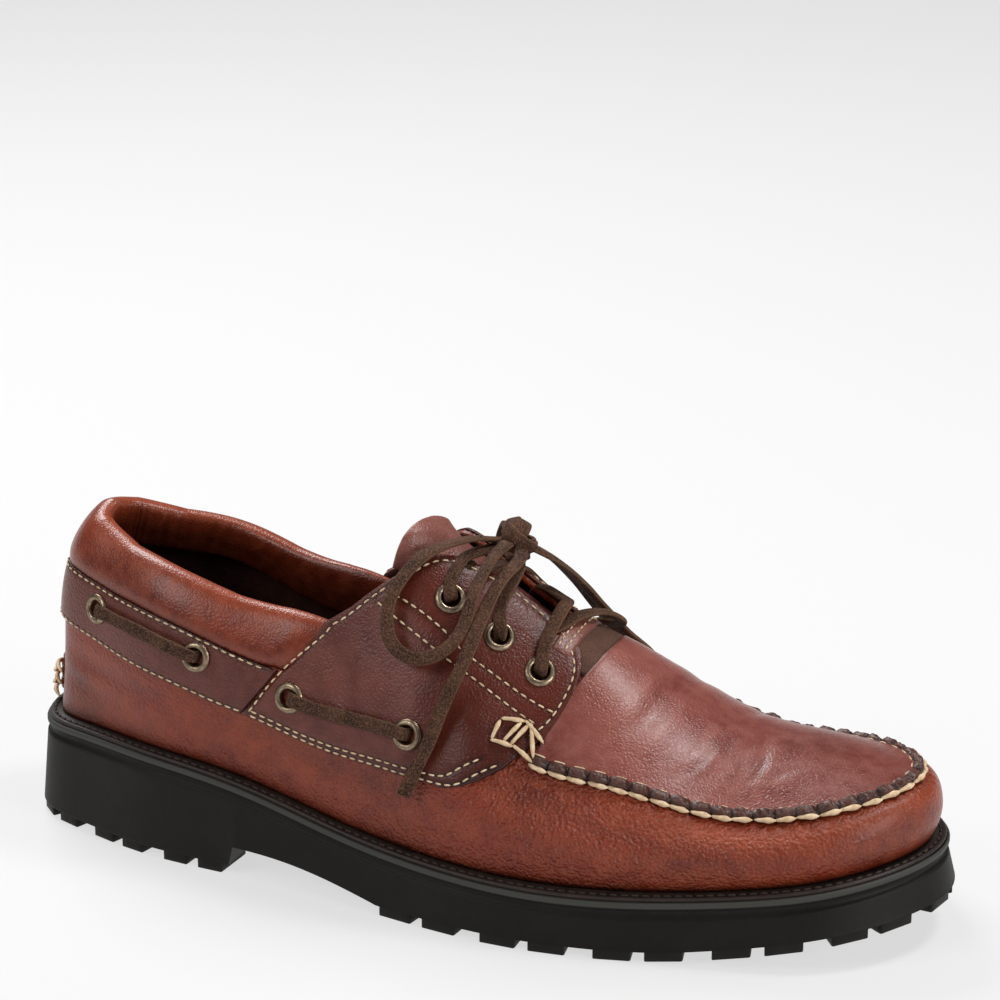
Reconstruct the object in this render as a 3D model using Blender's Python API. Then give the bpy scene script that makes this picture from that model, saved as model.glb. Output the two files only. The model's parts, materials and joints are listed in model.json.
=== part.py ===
"""A right boat shoe on a lug sole: hollow moccasin upper, welt, outsole, tongue, insole, overlays and lacing.

Metres. +X points to the toe, +Y to the inner (medial) side, -Y to the outer (lateral) side, +Z up.
The shoe stands on z = 0 with the middle of its length at x = 0.
"""

import math

import bmesh
import bpy
import numpy as np
from mathutils import Matrix, Vector

SOLE_LENGTH = 0.300
BALL_WIDTH = 0.108
HEEL_HEIGHT = 0.0334
TOE_SPRING = 0.0117
INSTEP_HEIGHT = 0.122
CLEARANCE = 0.0003

RIM_LIP = 0.0018
RIM_RECESS = 0.0012
RIM_BAND = 0.0026
RIM_STEP = 0.0006
RIM_CHAMFER = 0.0004
WALL_FLARE = 0.0021
LUG_DEPTH = 0.0032
LUG_REACH = 0.016
LUG_ROOT = 0.0012
LUG_NOTCH = 0.0040
LUG_GAP = 0.0085
FOREFOOT_PAIRS = 11
HEEL_PAIRS = 7
CLEAT_LENGTH = 0.0080
CLEAT_PITCH = 0.0215
CLEAT_GAP = 0.0040
ARCH_HEIGHT = 0.0098

WELT_THICKNESS = 0.0012
WELT_INSET = 0.0010
WELT_WIDTH = 0.0105
FEATHER_INSET = 0.0050
UPPER_WALL = 0.0020
INSOLE_THICKNESS = 0.0030
INSOLE_INSET = 0.0032
TONGUE_THICKNESS = 0.0022
TONGUE_GAP = 0.0018
TONGUE_LIFT = 0.0045
TONGUE_TOP = 0.455
TONGUE_SLANT = 0.012
TONGUE_ROUNDING = 0.006
TONGUE_BASE = 0.655
OVERLAY_THICKNESS = 0.0012
SEAM_WIDTH = 0.0034
SEAM_HEIGHT = 0.0033
SEAM_PINCH = 0.0062
SEAM_TOP_SHARE = 0.8
SEAM_PINCHED = 0.7
SEAM_LIFT = 0.0006
HEEL_SEAM_HEIGHT = 0.0040
HEEL_SEAM_EDGE = 0.0008

EYELET_RADIUS = 0.0049
EYELET_HOLE = 0.0027
EYELET_BARREL = 0.00035
EYELET_FLANGE = 0.0009
EYELET_LIFT = 0.0005
LACE_WIDTH = 0.0042
LACE_THICKNESS = 0.0017
LACE_ROUND = 0.0015
LACE_ARCH = 0.0004
KNOT_CENTRE = (0.0124, 0.0015, 0.1107)
KNOT_RADII = (0.0056, 0.0048, 0.0056)

# Plan outline of the sole: station along the length, y as a share of the ball width.
# The rows run from the heel up the lateral side to the toe and back down the medial side.
OUTLINE = np.array(
    [
        (0.022, -0.171),
        (0.085, -0.261),
        (0.180, -0.341),
        (0.320, -0.380),
        (0.460, -0.452),
        (0.600, -0.503),
        (0.700, -0.475),
        (0.800, -0.416),
        (0.900, -0.336),
        (0.970, -0.179),
        (1.000, 0.034),
        (0.975, 0.229),
        (0.910, 0.394),
        (0.820, 0.487),
        (0.720, 0.499),
        (0.600, 0.434),
        (0.460, 0.339),
        (0.320, 0.309),
        (0.180, 0.349),
        (0.085, 0.294),
        (0.022, 0.189),
    ]
)

# Top edge of the sole: station, height as a share of the heel height.
SOLE_TOP = np.array(
    [
        (0.00, 0.955),
        (0.12, 1.000),
        (0.25, 0.922),
        (0.40, 0.665),
        (0.55, 0.554),
        (0.70, 0.541),
        (0.85, 0.661),
        (1.00, 0.877),
    ]
)

# Tread under the toe: station, height over the floor as a share of the toe spring.
TOE_LIFT = np.array([(0.70, 0.0), (0.76, 0.07), (0.82, 0.27), (0.92, 0.69), (1.00, 1.0)])

# Underside between heel and forefoot: station, height as a share of the arch height.
HEEL_BREAST = 0.272
FOREFOOT_START = 0.450
LUG_MARGIN = 0.008
CLEAT_HEEL = 0.075
CLEAT_TOE = 0.90
CLEAT_SHORT_OF_ARCH = 0.022
CLEAT_PAST_ARCH = 0.020
ARCH = np.array([(0.272, 1.0), (0.33, 0.93), (0.40, 0.66), (0.45, 0.36)])

# Ridge of the last: station, height as a share of the instep height, y as a share of the ball width.
RIDGE = np.array(
    [
        (0.12, 0.967, 0.009),
        (0.25, 0.992, -0.001),
        (0.38, 1.000, -0.001),
        (0.46, 0.930, 0.009),
        (0.50, 0.861, 0.009),
        (0.55, 0.775, 0.014),
        (0.60, 0.693, 0.019),
        (0.657, 0.625, 0.029),
        (0.69, 0.576, 0.034),
        (0.738, 0.504, 0.039),
        (0.777, 0.463, 0.039),
        (0.84, 0.441, 0.039),
    ]
)

# Sections of the upper from the feather line to the ridge: station, then inset (share of the ball width)
# and rise (share of the instep height) of four control points, then the plan share of the crown's edge.
SECTIONS = np.array(
    [
        (0.00, 0.014, 0.074, 0.023, 0.180, 0.023, 0.344, 0.083, 0.508, 0.68),
        (0.10, -0.003, 0.074, 0.000, 0.180, 0.009, 0.336, 0.065, 0.492, 0.66),
        (0.20, -0.014, 0.066, -0.017, 0.164, -0.005, 0.311, 0.046, 0.459, 0.62),
        (0.35, -0.011, 0.066, -0.011, 0.156, 0.014, 0.279, 0.065, 0.410, 0.56),
        (0.50, -0.017, 0.066, -0.017, 0.164, 0.032, 0.311, 0.120, 0.475, 0.70),
        (0.60, -0.019, 0.057, -0.020, 0.139, 0.046, 0.230, 0.157, 0.328, 0.72),
        (0.70, -0.023, 0.057, -0.026, 0.123, 0.032, 0.201, 0.120, 0.258, 0.70),
        (0.80, -0.028, 0.049, -0.030, 0.102, 0.023, 0.150, 0.102, 0.172, 0.66),
        (0.90, -0.030, 0.045, -0.030, 0.098, 0.014, 0.143, 0.083, 0.156, 0.60),
        (1.00, -0.026, 0.041, -0.026, 0.102, 0.000, 0.160, 0.074, 0.160, 0.55),
    ]
)

# Edge between the upper's wall and the padded collar: station, share of the section.
COLLAR_SEAM = np.array(
    [(0.00, 0.612), (0.04, 0.607), (0.11, 0.576), (0.19, 0.576), (0.265, 0.579), (0.327, 0.594)]
)
# Rise of the roll over its seam, in shares of the section: at its ends, and what it gains at the heel.
COLLAR_END = 0.360
COLLAR_RISE = 0.151
COLLAR_HEEL_RISE = 0.045
COLLAR_OVERLAP = 0.006
# Section of the roll: share of its rise, distance out of the last's face.
COLLAR_SECTION = (
    (0.03, 0.0),
    (0.30, 0.0012),
    (0.65, 0.0014),
    (0.92, 0.0004),
    (1.04, -0.0026),
    (0.98, -0.0056),
    (0.62, -0.0074),
    (0.20, -0.0074),
    (0.05, -0.0040),
)

# Side panel with its eyelet facing: station, lower and upper edge as shares of the section.
SADDLE = np.array(
    [
        (0.286, 0.312, 0.330),
        (0.306, 0.307, 0.460),
        (0.327, 0.302, 0.594),
        (0.370, 0.297, 0.745),
        (0.400, 0.297, 0.776),
        (0.455, 0.302, 0.850),
        (0.479, 0.306, 0.900),
        (0.500, 0.311, 0.928),
        (0.520, 0.318, 0.945),
        (0.540, 0.355, 0.955),
        (0.560, 0.420, 0.962),
        (0.584, 0.536, 0.962),
        (0.596, 0.620, 0.962),
        (0.610, 0.680, 0.958),
        (0.626, 0.742, 0.948),
        (0.637, 0.800, 0.930),
        (0.643, 0.845, 0.895),
    ]
)
# Tongue: station, half width as a share of the section.
TONGUE_HALF = np.array([(0.445, 0.150), (0.475, 0.158), (0.50, 0.165), (0.56, 0.145), (0.655, 0.130)])
THROAT_END = 0.626
THROAT_STEP = 0.008
THROAT_MARGIN = 0.015
THROAT_BLEND = 0.05

# Band round the heel: station, lower edge as a share of the section.
BACK_BAND = np.array(
    [(0.00, 0.390), (0.035, 0.378), (0.12, 0.328), (0.19, 0.316), (0.25, 0.305), (0.30, 0.312)]
)

# Toe seam of the moccasin: station, inset from the feather line as a share of the ball width.
TOE_SEAM = np.array(
    [(0.585, 0.110), (0.62, 0.109), (0.70, 0.097), (0.80, 0.087), (0.90, 0.071), (1.00, 0.050)]
)
TOE_SEAM_START = 0.608
PUCKER_START = 0.598

# Gaps in shares: between the band's ends and the side panel, low and high, and under the collar's seam.
BAND_END_GAP = (0.004, 0.007)
BAND_TOP_GAP = 0.004
BAND_LAST_ROW = 0.01

# Eyelets on each side: name, station, share of the section.
LACE_EYELETS = (("top", 0.503, 0.845), ("middle", 0.556, 0.846), ("front", 0.602, 0.842))
SIDE_EYELETS = (
    ("heel", 0.088, 0.486),
    ("band", 0.229, 0.484),
    ("quarter", 0.337, 0.490),
    ("saddle", 0.479, 0.469),
)

# Middle lines of the bow, in millimetres from the knot outwards: x, y, z.
LOOP_LATERAL = np.array(
    [
        (6.4, -2.0, 108.7),
        (2.0, -6.5, 110.0),
        (-5.1, -13.5, 109.4),
        (-10.4, -20.0, 107.0),
        (-14.6, -26.5, 101.6),
        (-16.5, -31.0, 96.5),
        (-16.3, -34.5, 90.4),
        (-13.5, -37.0, 84.3),
        (-7.8, -38.0, 81.2),
        (-2.2, -38.0, 81.6),
        (4.1, -35.2, 85.2),
        (7.0, -30.0, 90.5),
        (7.6, -24.0, 98.0),
        (8.5, -17.0, 103.8),
        (9.7, -10.5, 107.4),
        (11.2, -4.6, 109.0),
    ]
)
LOOP_MEDIAL = np.array(
    [
        (16.0, 3.2, 105.8),
        (20.9, 5.4, 102.9),
        (25.2, 8.6, 98.8),
        (29.3, 13.0, 92.4),
        (32.0, 17.5, 86.2),
        (35.2, 22.0, 79.7),
        (38.6, 26.4, 73.2),
        (42.6, 31.0, 67.0),
        (45.6, 35.2, 61.2),
        (44.5, 38.6, 57.8),
        (40.2, 39.4, 59.0),
        (35.4, 37.4, 65.0),
        (30.5, 33.5, 73.0),
        (26.0, 28.4, 82.0),
        (22.4, 22.0, 90.8),
        (18.8, 14.6, 98.6),
        (14.0, 6.6, 105.4),
    ]
)
END_LATERAL = np.array(
    [
        (15.2, -3.8, 107.2),
        (16.6, -8.0, 106.2),
        (14.8, -15.0, 103.0),
        (12.5, -23.5, 96.6),
        (11.1, -32.0, 88.1),
        (9.4, -37.8, 80.4),
        (6.3, -42.0, 71.8),
        (3.2, -45.6, 61.0),
        (-1.2, -48.5, 49.6),
        (-4.2, -50.8, 41.8),
    ]
)
END_MEDIAL = np.array(
    [
        (7.4, 6.2, 109.2),
        (4.6, 12.5, 108.8),
        (0.5, 20.0, 104.6),
        (-3.5, 27.0, 95.6),
        (-6.0, 32.0, 84.5),
        (-8.0, 35.6, 72.5),
        (-9.0, 38.0, 61.0),
        (-9.0, 39.8, 51.0),
        (-8.5, 41.4, 43.0),
    ]
)

ANGLES_PER_SIDE = 26
LOWER_ROWS = 2
PANEL_ROWS = 5
EYELET_SIDES = 8


def material(name, colour, roughness, metallic=0.0):
    made = bpy.data.materials.new(name)
    made.use_nodes = True
    shader = made.node_tree.nodes["Principled BSDF"]
    shader.inputs["Base Color"].default_value = (*colour, 1.0)
    shader.inputs["Roughness"].default_value = roughness
    shader.inputs["Metallic"].default_value = metallic
    return made


def spline(x, table):
    """Natural cubic spline through a table's rows: column 0 is the place, the others are values."""
    place, value = table[:, 0], table[:, 1:]
    gap = np.diff(place)
    slope = np.diff(value, axis=0) / gap[:, None]
    matrix = np.eye(len(place))
    for i in range(1, len(place) - 1):
        matrix[i, i - 1 : i + 2] = gap[i - 1], 2 * (gap[i - 1] + gap[i]), gap[i]
    right = np.zeros_like(value)
    right[1:-1] = 6 * np.diff(slope, axis=0)
    bend = np.linalg.solve(matrix, right)
    x = np.clip(np.asarray(x, float), place[0], place[-1])
    i = np.clip(np.searchsorted(place, x, side="right") - 1, 0, len(place) - 2)
    before, after, width = (place[i + 1] - x)[..., None], (x - place[i])[..., None], gap[i][..., None]
    curved = (bend[i] * before**3 + bend[i + 1] * after**3) / (6 * width)
    straight = (value[i] / width - bend[i] * width / 6) * before
    return curved + straight + (value[i + 1] / width - bend[i + 1] * width / 6) * after


def station(angle):
    """Share of the length from heel (0) to toe (1) at an angle round the shoe."""
    return (1 - np.cos(angle)) / 2


def angle_at(share):
    """Angle of a station on the lateral side; its negative is the medial side."""
    return np.arccos(1 - 2 * np.asarray(share, float))


def outline(angle, inset=0.0):
    """Plan points at an inset from the sole's edge; the angle is 0 at the heel and pi at the toe."""
    turn = np.arccos(1 - 2 * OUTLINE[:, 0])
    toe = int(np.argmax(OUTLINE[:, 0]))
    turn[toe + 1 :] = 2 * np.pi - turn[toe + 1 :]
    once = np.column_stack([turn, OUTLINE[:, 1]])
    whole = np.vstack([once[-4:] - [2 * np.pi, 0], once, once[:4] + [2 * np.pi, 0]])

    def plan(at):
        y = spline(np.mod(at, 2 * np.pi), whole)[..., 0] * BALL_WIDTH
        return np.stack([(station(at) - 0.5) * SOLE_LENGTH, y], axis=-1)

    step = 1e-3
    along = plan(angle + step) - plan(angle - step)
    along /= np.linalg.norm(along, axis=-1, keepdims=True)
    inward = np.stack([-along[..., 1], along[..., 0]], axis=-1)
    return plan(angle) + inward * np.asarray(inset)[..., None]


def length_share(x):
    return x / SOLE_LENGTH + 0.5


def edge_ring(angle, inset, height):
    """Points round the shoe at an inset from the sole's edge; the height is a function of the station."""
    plan = outline(angle, np.full(angle.shape, inset))
    return np.column_stack([plan, height(length_share(plan[:, 0]))])


def sole_top(share):
    return spline(share, SOLE_TOP)[..., 0] * HEEL_HEIGHT


def tread_height(share):
    return spline(share, TOE_LIFT)[..., 0] * TOE_SPRING


def upper_floor(share):
    """Height of the feather line, where the upper stands on the welt."""
    return sole_top(share) + WELT_THICKNESS + 2 * CLEARANCE


def ridge(share):
    """Point and slope of the last's ridge."""
    step = 1e-3
    here = spline(share, RIDGE)
    rise = spline(share + step, RIDGE)[..., 0] - spline(share - step, RIDGE)[..., 0]
    x = (share - 0.5) * SOLE_LENGTH
    point = np.stack([x, here[..., 1] * BALL_WIDTH, here[..., 0] * INSTEP_HEIGHT], axis=-1)
    return point, rise * INSTEP_HEIGHT / (2 * step * SOLE_LENGTH)


def controls(angle):
    """Seven control points of the section at each angle, from feather line to ridge.

    The sections stand across the shoe in the middle and fan out round the heel and the toe.
    """
    share = station(angle)
    foot = outline(angle, np.full(np.shape(angle), FEATHER_INSET))
    floor = upper_floor(length_share(foot[..., 0]))
    crown, slope = ridge(0.485 - 0.5 * np.cos(angle) + 0.15 * np.cos(angle) ** 3)
    reach = crown[..., :2] - foot
    unit = reach / np.linalg.norm(reach, axis=-1, keepdims=True)
    row = spline(share, SECTIONS)
    points = []
    for column in (None, 0, 2, 4, 6):
        inset, rise = (0 * share, 0 * share) if column is None else (row[..., column], row[..., column + 1])
        plan = foot + unit * (inset * BALL_WIDTH)[..., None]
        height = floor + rise * INSTEP_HEIGHT
        points.append(np.concatenate([plan, height[..., None]], axis=-1))
    plan = foot + reach * row[..., 8:9]
    height = crown[..., 2] + slope * (plan[..., 0] - crown[..., 0])
    points.append(np.concatenate([plan, height[..., None]], axis=-1))
    points.append(crown)
    return np.stack(points, axis=-2)


def basis(share):
    """Weights of seven control points of a clamped cubic B-spline."""
    knots = (0, 0, 0, 0, 1, 2, 3, 4, 4, 4, 4)
    at = np.clip(np.asarray(share, float), 0, 1 - 1e-9) * 4
    weights = [np.where((at >= a) & (at < b), 1.0, 0.0) for a, b in zip(knots, knots[1:])]
    for degree in (1, 2, 3):
        for i in range(len(knots) - degree - 1):
            left = knots[i + degree] - knots[i]
            right = knots[i + degree + 1] - knots[i + 1]
            rising = (at - knots[i]) / left * weights[i] if left else 0
            falling = (knots[i + degree + 1] - at) / right * weights[i + 1] if right else 0
            weights[i] = rising + falling
    return np.stack(weights[:7], axis=-1)


def last(angle, share, out=0.0):
    """Points on the upper's outer face, moved out of it by a distance: angle, share of the section."""
    angle, share, out = np.broadcast_arrays(angle, share, out)

    def surface(at, up):
        return np.einsum("...k,...kd->...d", basis(up), controls(at))

    step = 1e-3
    low, high = np.clip(share - step, 0, 1), np.clip(share + step, 0, 1)
    around = surface(angle + step, share) - surface(angle - step, share)
    normal = np.cross(around, surface(angle, high) - surface(angle, low))
    normal /= np.linalg.norm(normal, axis=-1, keepdims=True)
    return surface(angle, share) + normal * out[..., None]


def share_at_inset(angle, inset):
    """Share of the section where the upper's face has come this far in from its feather line."""
    steps = np.linspace(0.3, 0.95, 131)
    face = last(angle[:, None], steps[None, :])
    start = last(angle, 0.0)
    way = last(angle, 1.0)[:, :2] - start[:, :2]
    way /= np.linalg.norm(way, axis=-1, keepdims=True)
    reach = np.einsum("ijk,ik->ij", face[..., :2] - start[:, None, :2], way)
    return np.array([np.interp(want, row, steps) for want, row in zip(inset, reach)])


def opening_share(share):
    """Edge of the upper at the collar and throat."""
    seam = np.interp(share, COLLAR_SEAM[:, 0], COLLAR_SEAM[:, 1])
    panel = np.interp(share, SADDLE[:, 0], SADDLE[:, 2])
    return np.where(share < COLLAR_SEAM[-1, 0], seam, panel)


def ring_angles(extra=(), nearest=0.03):
    """Angles round the shoe, the same on both sides, set to given stations where they have any."""
    side = np.linspace(0, np.pi, ANGLES_PER_SIDE + 1)
    added = angle_at(extra)
    side = np.array([at for at in side if all(abs(at - other) > nearest for other in added)])
    side = np.sort(np.concatenate([side, added]))
    return np.concatenate([side, 2 * np.pi - side[-2:0:-1]])


def add_object(name, points, faces, finish):
    """Closed mesh object with its faces turned outwards."""
    mesh = bpy.data.meshes.new(name)
    shape = bmesh.new()
    corners = [shape.verts.new(point) for point in points]
    for face in faces:
        shape.faces.new([corners[i] for i in face])
    loose = [corner for corner in corners if not corner.link_faces]
    bmesh.ops.delete(shape, geom=loose, context="VERTS")
    bmesh.ops.recalc_face_normals(shape, faces=shape.faces)
    shape.to_mesh(mesh)
    shape.free()
    mesh.materials.append(finish)
    made = bpy.data.objects.new(name, mesh)
    bpy.context.collection.objects.link(made)
    return made


def split_strip(first, second):
    """Triangles between two rows of a grid, always split the same way, so that layers stay parallel."""
    faces = []
    for a, b, c, d in zip(first, second, second[1:], first[1:]):
        faces += [(a, b, c), (a, c, d)]
    return faces


def shell(outer, inner, loop=False):
    """Points and faces of the solid between two grids; a loop joins the last row to the first."""
    rows, columns = outer.shape[:2]
    points = np.concatenate([outer.reshape(-1, 3), inner.reshape(-1, 3)])
    near = np.arange(rows * columns).reshape(rows, columns)
    far = near + rows * columns
    faces = []
    for i in range(rows if loop else rows - 1):
        k = (i + 1) % rows
        faces += split_strip(near[i], near[k]) + split_strip(far[i], far[k])
        for j in (0, columns - 1):
            faces.append((near[i, j], far[i, j], far[k, j], near[k, j]))
    if not loop:
        for i in (0, rows - 1):
            for j in range(columns - 1):
                faces.append((near[i, j], near[i, j + 1], far[i, j + 1], far[i, j]))
    return points, faces


def stacked_rings(rings):
    """Points and faces of a solid from rings round the shoe, closed above and below straight across."""
    levels, count = len(rings), len(rings[0])
    number = np.arange(levels * count).reshape(levels, count)
    faces = []
    for low, high in zip(number, number[1:]):
        for i in range(count):
            k = (i + 1) % count
            faces.append((low[i], low[k], high[k], high[i]))
    for ring in (number[0], number[-1]):
        for i in range(count // 2):
            across = (ring[i], ring[i + 1], ring[count - i - 1], ring[(count - i) % count])
            faces.append(tuple(dict.fromkeys(across)))
    return np.concatenate(rings), faces


def boolean(target, tool, operation):
    """Joins or cuts the target with a tool that isn't rendered."""
    tool.hide_render = True
    tool.display_type = "WIRE"
    modifier = target.modifiers.new(operation.title(), "BOOLEAN")
    modifier.operation = operation
    modifier.use_self = operation == "UNION"
    modifier.object = tool


BLOCK_FACES = ((0, 1, 2, 3), (4, 5, 6, 7), (0, 1, 5, 4), (1, 2, 6, 5), (2, 3, 7, 6), (3, 0, 4, 7))


def lug_spans(first, end, pairs):
    """Angles at the ends of each lug on a stretch of the edge: pairs with a notch in each, gaps between."""
    fine = np.linspace(first, end, 1500)
    edge = outline(fine, np.full(fine.shape, -WALL_FLARE))
    travel = np.concatenate([[0], np.cumsum(np.linalg.norm(np.diff(edge, axis=0), axis=1))])
    pitch = (travel[-1] + LUG_GAP) / pairs
    length = (pitch - LUG_GAP - LUG_NOTCH) / 2
    for start in np.arange(pairs) * pitch:
        for lug in (0, 1):
            near = start + lug * (length + LUG_NOTCH)
            yield np.interp([near, near + length], travel, fine)


def lug_tread():
    """All lugs of the tread as separate blocks, their roots inside the sole: points and faces."""
    points, faces = [], []

    def add(plan, foot):
        """Block over a plan of four corners, from its foot up into the sole."""
        first = len(points)
        points.extend(np.column_stack([plan, foot]))
        points.extend(np.column_stack([plan, foot + LUG_DEPTH + LUG_ROOT]))
        faces.extend([tuple(first + i for i in face) for face in BLOCK_FACES])

    forefoot = float(angle_at(FOREFOOT_START + LUG_MARGIN))
    heel = float(angle_at(HEEL_BREAST - LUG_MARGIN))
    front = lug_spans(forefoot, 2 * np.pi - forefoot, FOREFOOT_PAIRS)
    back = lug_spans(-heel, heel, HEEL_PAIRS)
    for span in (*front, *back):
        outer = outline(span, np.full(2, CLEARANCE - WALL_FLARE))
        inner = outline(span, np.full(2, LUG_REACH - WALL_FLARE))
        plan = np.concatenate([outer, inner[::-1]])
        add(plan, tread_height(length_share(plan[:, 0])))

    heel_span = (CLEAT_HEEL, HEEL_BREAST - CLEAT_SHORT_OF_ARCH)
    for first, end in (heel_span, (FOREFOOT_START + CLEAT_PAST_ARCH, CLEAT_TOE)):
        count = int((end - first) * SOLE_LENGTH / CLEAT_PITCH) + 1
        for place in np.linspace(first, end, count):
            x = (place - 0.5) * SOLE_LENGTH
            left, right = outline(np.array([-angle_at(place), angle_at(place)]))[:, 1]
            left, right = left - LUG_REACH - CLEAT_GAP, right + LUG_REACH + CLEAT_GAP
            rear, fore = x - CLEAT_LENGTH / 2, x + CLEAT_LENGTH / 2
            plan = np.array([(rear, right), (fore, right), (fore, left), (rear, left)])
            add(plan, np.repeat(tread_height(np.array([place])), 4))
    return points, faces


def build_outsole(rubber):
    angles = ring_angles((HEEL_BREAST, HEEL_BREAST + 0.004))

    def under(share):
        arch = spline(share, ARCH)[..., 0] * ARCH_HEIGHT
        between = (share > HEEL_BREAST + 0.002) & (share < FOREFOOT_START)
        tread = tread_height(share) + LUG_DEPTH
        return np.where(between, np.maximum(arch, tread), tread)

    rim = (
        (0.0, RIM_LIP + 2 * RIM_STEP + RIM_BAND),
        (RIM_RECESS, RIM_LIP + RIM_STEP + RIM_BAND),
        (RIM_RECESS, RIM_LIP + RIM_STEP),
        (0.0, RIM_LIP),
        (RIM_CHAMFER, 0.0),
    )
    rings = [edge_ring(angles, -WALL_FLARE, under)]
    rings += [edge_ring(angles, inset, lambda share: sole_top(share) - drop) for inset, drop in rim]
    sole = add_object("outsole", *stacked_rings(rings), rubber)
    lugs = add_object("outsole_lugs", *lug_tread(), rubber)
    boolean(sole, lugs, "UNION")
    return sole


def build_welt(leather):
    angles = ring_angles()

    def low(share):
        return sole_top(share) + CLEARANCE

    def high(share):
        return low(share) + WELT_THICKNESS

    far = WELT_INSET + WELT_WIDTH
    outer = np.stack([edge_ring(angles, WELT_INSET, low), edge_ring(angles, WELT_INSET, high)], axis=1)
    inner = np.stack([edge_ring(angles, far, low), edge_ring(angles, far, high)], axis=1)
    return add_object("welt", *shell(outer, inner, loop=True), leather)


def build_insole(leather):
    angles = ring_angles()
    inset = FEATHER_INSET + INSOLE_INSET
    rings = [
        edge_ring(angles, inset, upper_floor),
        edge_ring(angles, inset, lambda share: upper_floor(share) + INSOLE_THICKNESS),
    ]
    return add_object("insole", *stacked_rings(rings), leather)


def panel_line(angle):
    """Share of the section where a row of the upper's grid runs: under the panels and the toe seam."""
    share = station(angle)
    band = spline(share, BACK_BAND)[..., 0]
    panel = np.interp(share, SADDLE[:, 0], SADDLE[:, 1])
    front = share > PUCKER_START
    seam = np.zeros(share.shape)
    seam[front] = share_at_inset(angle[front], spline(share[front], TOE_SEAM)[..., 0] * BALL_WIDTH)
    return np.where(front, seam, np.where(share < SADDLE[0, 0], band, panel))


def upper_angles():
    panel = [share for share in SADDLE[:, 0] if share < PUCKER_START]
    return ring_angles([*panel, TOE_SEAM_START, THROAT_END, THROAT_END + THROAT_STEP], 0.06)


def build_upper(leather):
    """Hollow wall from the feather line to the collar, the throat and, at the toe, right across."""
    angles = upper_angles()
    share = station(angles)
    closed = share > THROAT_END + THROAT_STEP / 2
    top = np.where(closed, 1.0, opening_share(share))
    line = panel_line(angles)
    low = line[:, None] * np.linspace(0, 1, LOWER_ROWS + 1)
    high = line[:, None] + (top - line)[:, None] * np.linspace(0, 1, PANEL_ROWS + 1)[1:]
    rise = np.hstack([low, high])
    outer = last(angles[:, None], rise)
    inner = last(angles[:, None], rise, -UPPER_WALL)
    inner[:, 0, 2] = upper_floor(length_share(inner[:, 0, 0]))
    rows, columns = rise.shape
    points = np.concatenate([outer.reshape(-1, 3), inner.reshape(-1, 3)])
    near = np.arange(rows * columns).reshape(rows, columns)
    far = near + rows * columns
    for i in np.flatnonzero(closed):
        twin = min(i, rows - i)
        near[i, -1] = near[twin, -1]
        far[i, -1] = far[twin, -1]
    faces = []
    for i in range(rows):
        k = (i + 1) % rows
        faces += split_strip(near[i], near[k]) + split_strip(far[i], far[k])
        faces.append((near[i, 0], far[i, 0], far[k, 0], near[k, 0]))
        if not (closed[i] and closed[k]):
            faces.append((near[i, -1], far[i, -1], far[k, -1], near[k, -1]))
    return add_object("upper", points, faces, leather)


def overlay(name, angle, share, finish):
    """Thin panel laid on the upper's face, from grids of angle and share."""
    outer = last(angle, share, CLEARANCE + OVERLAY_THICKNESS)
    inner = last(angle, share, CLEARANCE)
    return add_object(name, *shell(outer, inner), finish)


def build_back_band(leather):
    """Band round the heel, its ends just behind the side panels."""
    rise = np.linspace(0, 1, PANEL_ROWS + 1)
    turn = upper_angles()
    turn = np.where(turn > np.pi, turn - 2 * np.pi, turn)
    turn = np.sort(turn[station(turn) < SADDLE[0, 0] - BAND_LAST_ROW])
    limit = np.array([SADDLE[0, 0], COLLAR_SEAM[-1, 0]]) - BAND_END_GAP
    ends = angle_at(np.interp(rise, [0, 1], limit))
    angle = np.vstack([-ends, np.repeat(turn[:, None], len(rise), axis=1), ends])
    share = station(angle)
    low = spline(share, BACK_BAND)[..., 0]
    high = opening_share(share) - BAND_TOP_GAP
    return overlay("back_band", angle, low + (high - low) * rise[None, :], leather)


def build_saddle(name, side, leather):
    """Side panel and eyelet facing of one side: 1 lateral, -1 medial."""
    share, low, high = SADDLE[::side].T
    rise = low[:, None] + (high - low)[:, None] * np.linspace(0, 1, PANEL_ROWS + 1)[None, :]
    return overlay(name, side * angle_at(share)[:, None] + 0 * rise, rise, leather)


def build_collar(leather):
    """Padded roll on the upper's edge, from one side panel round the heel to the other."""
    turn = np.linspace(-1, 1, 27)
    rings = []
    for rise, out in COLLAR_SECTION:
        end = angle_at(np.interp(rise, [0, 1], [COLLAR_SEAM[-1, 0] - COLLAR_OVERLAP, COLLAR_END]))
        seam = np.interp(station(turn * end), COLLAR_SEAM[:, 0], COLLAR_SEAM[:, 1])
        tall = COLLAR_RISE + COLLAR_HEEL_RISE * (1 - np.abs(turn)) ** 2
        rings.append(last(turn * end, seam + rise * tall, out))
    grid = np.stack(rings, axis=1)
    count, around = grid.shape[:2]
    number = np.arange(count * around).reshape(count, around)
    faces = [tuple(number[0]), tuple(number[-1])]
    for first, second in zip(number, number[1:]):
        faces += zip(first, second, np.roll(second, -1), np.roll(first, -1))
    return add_object("collar", grid.reshape(-1, 3), faces, leather)


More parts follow.
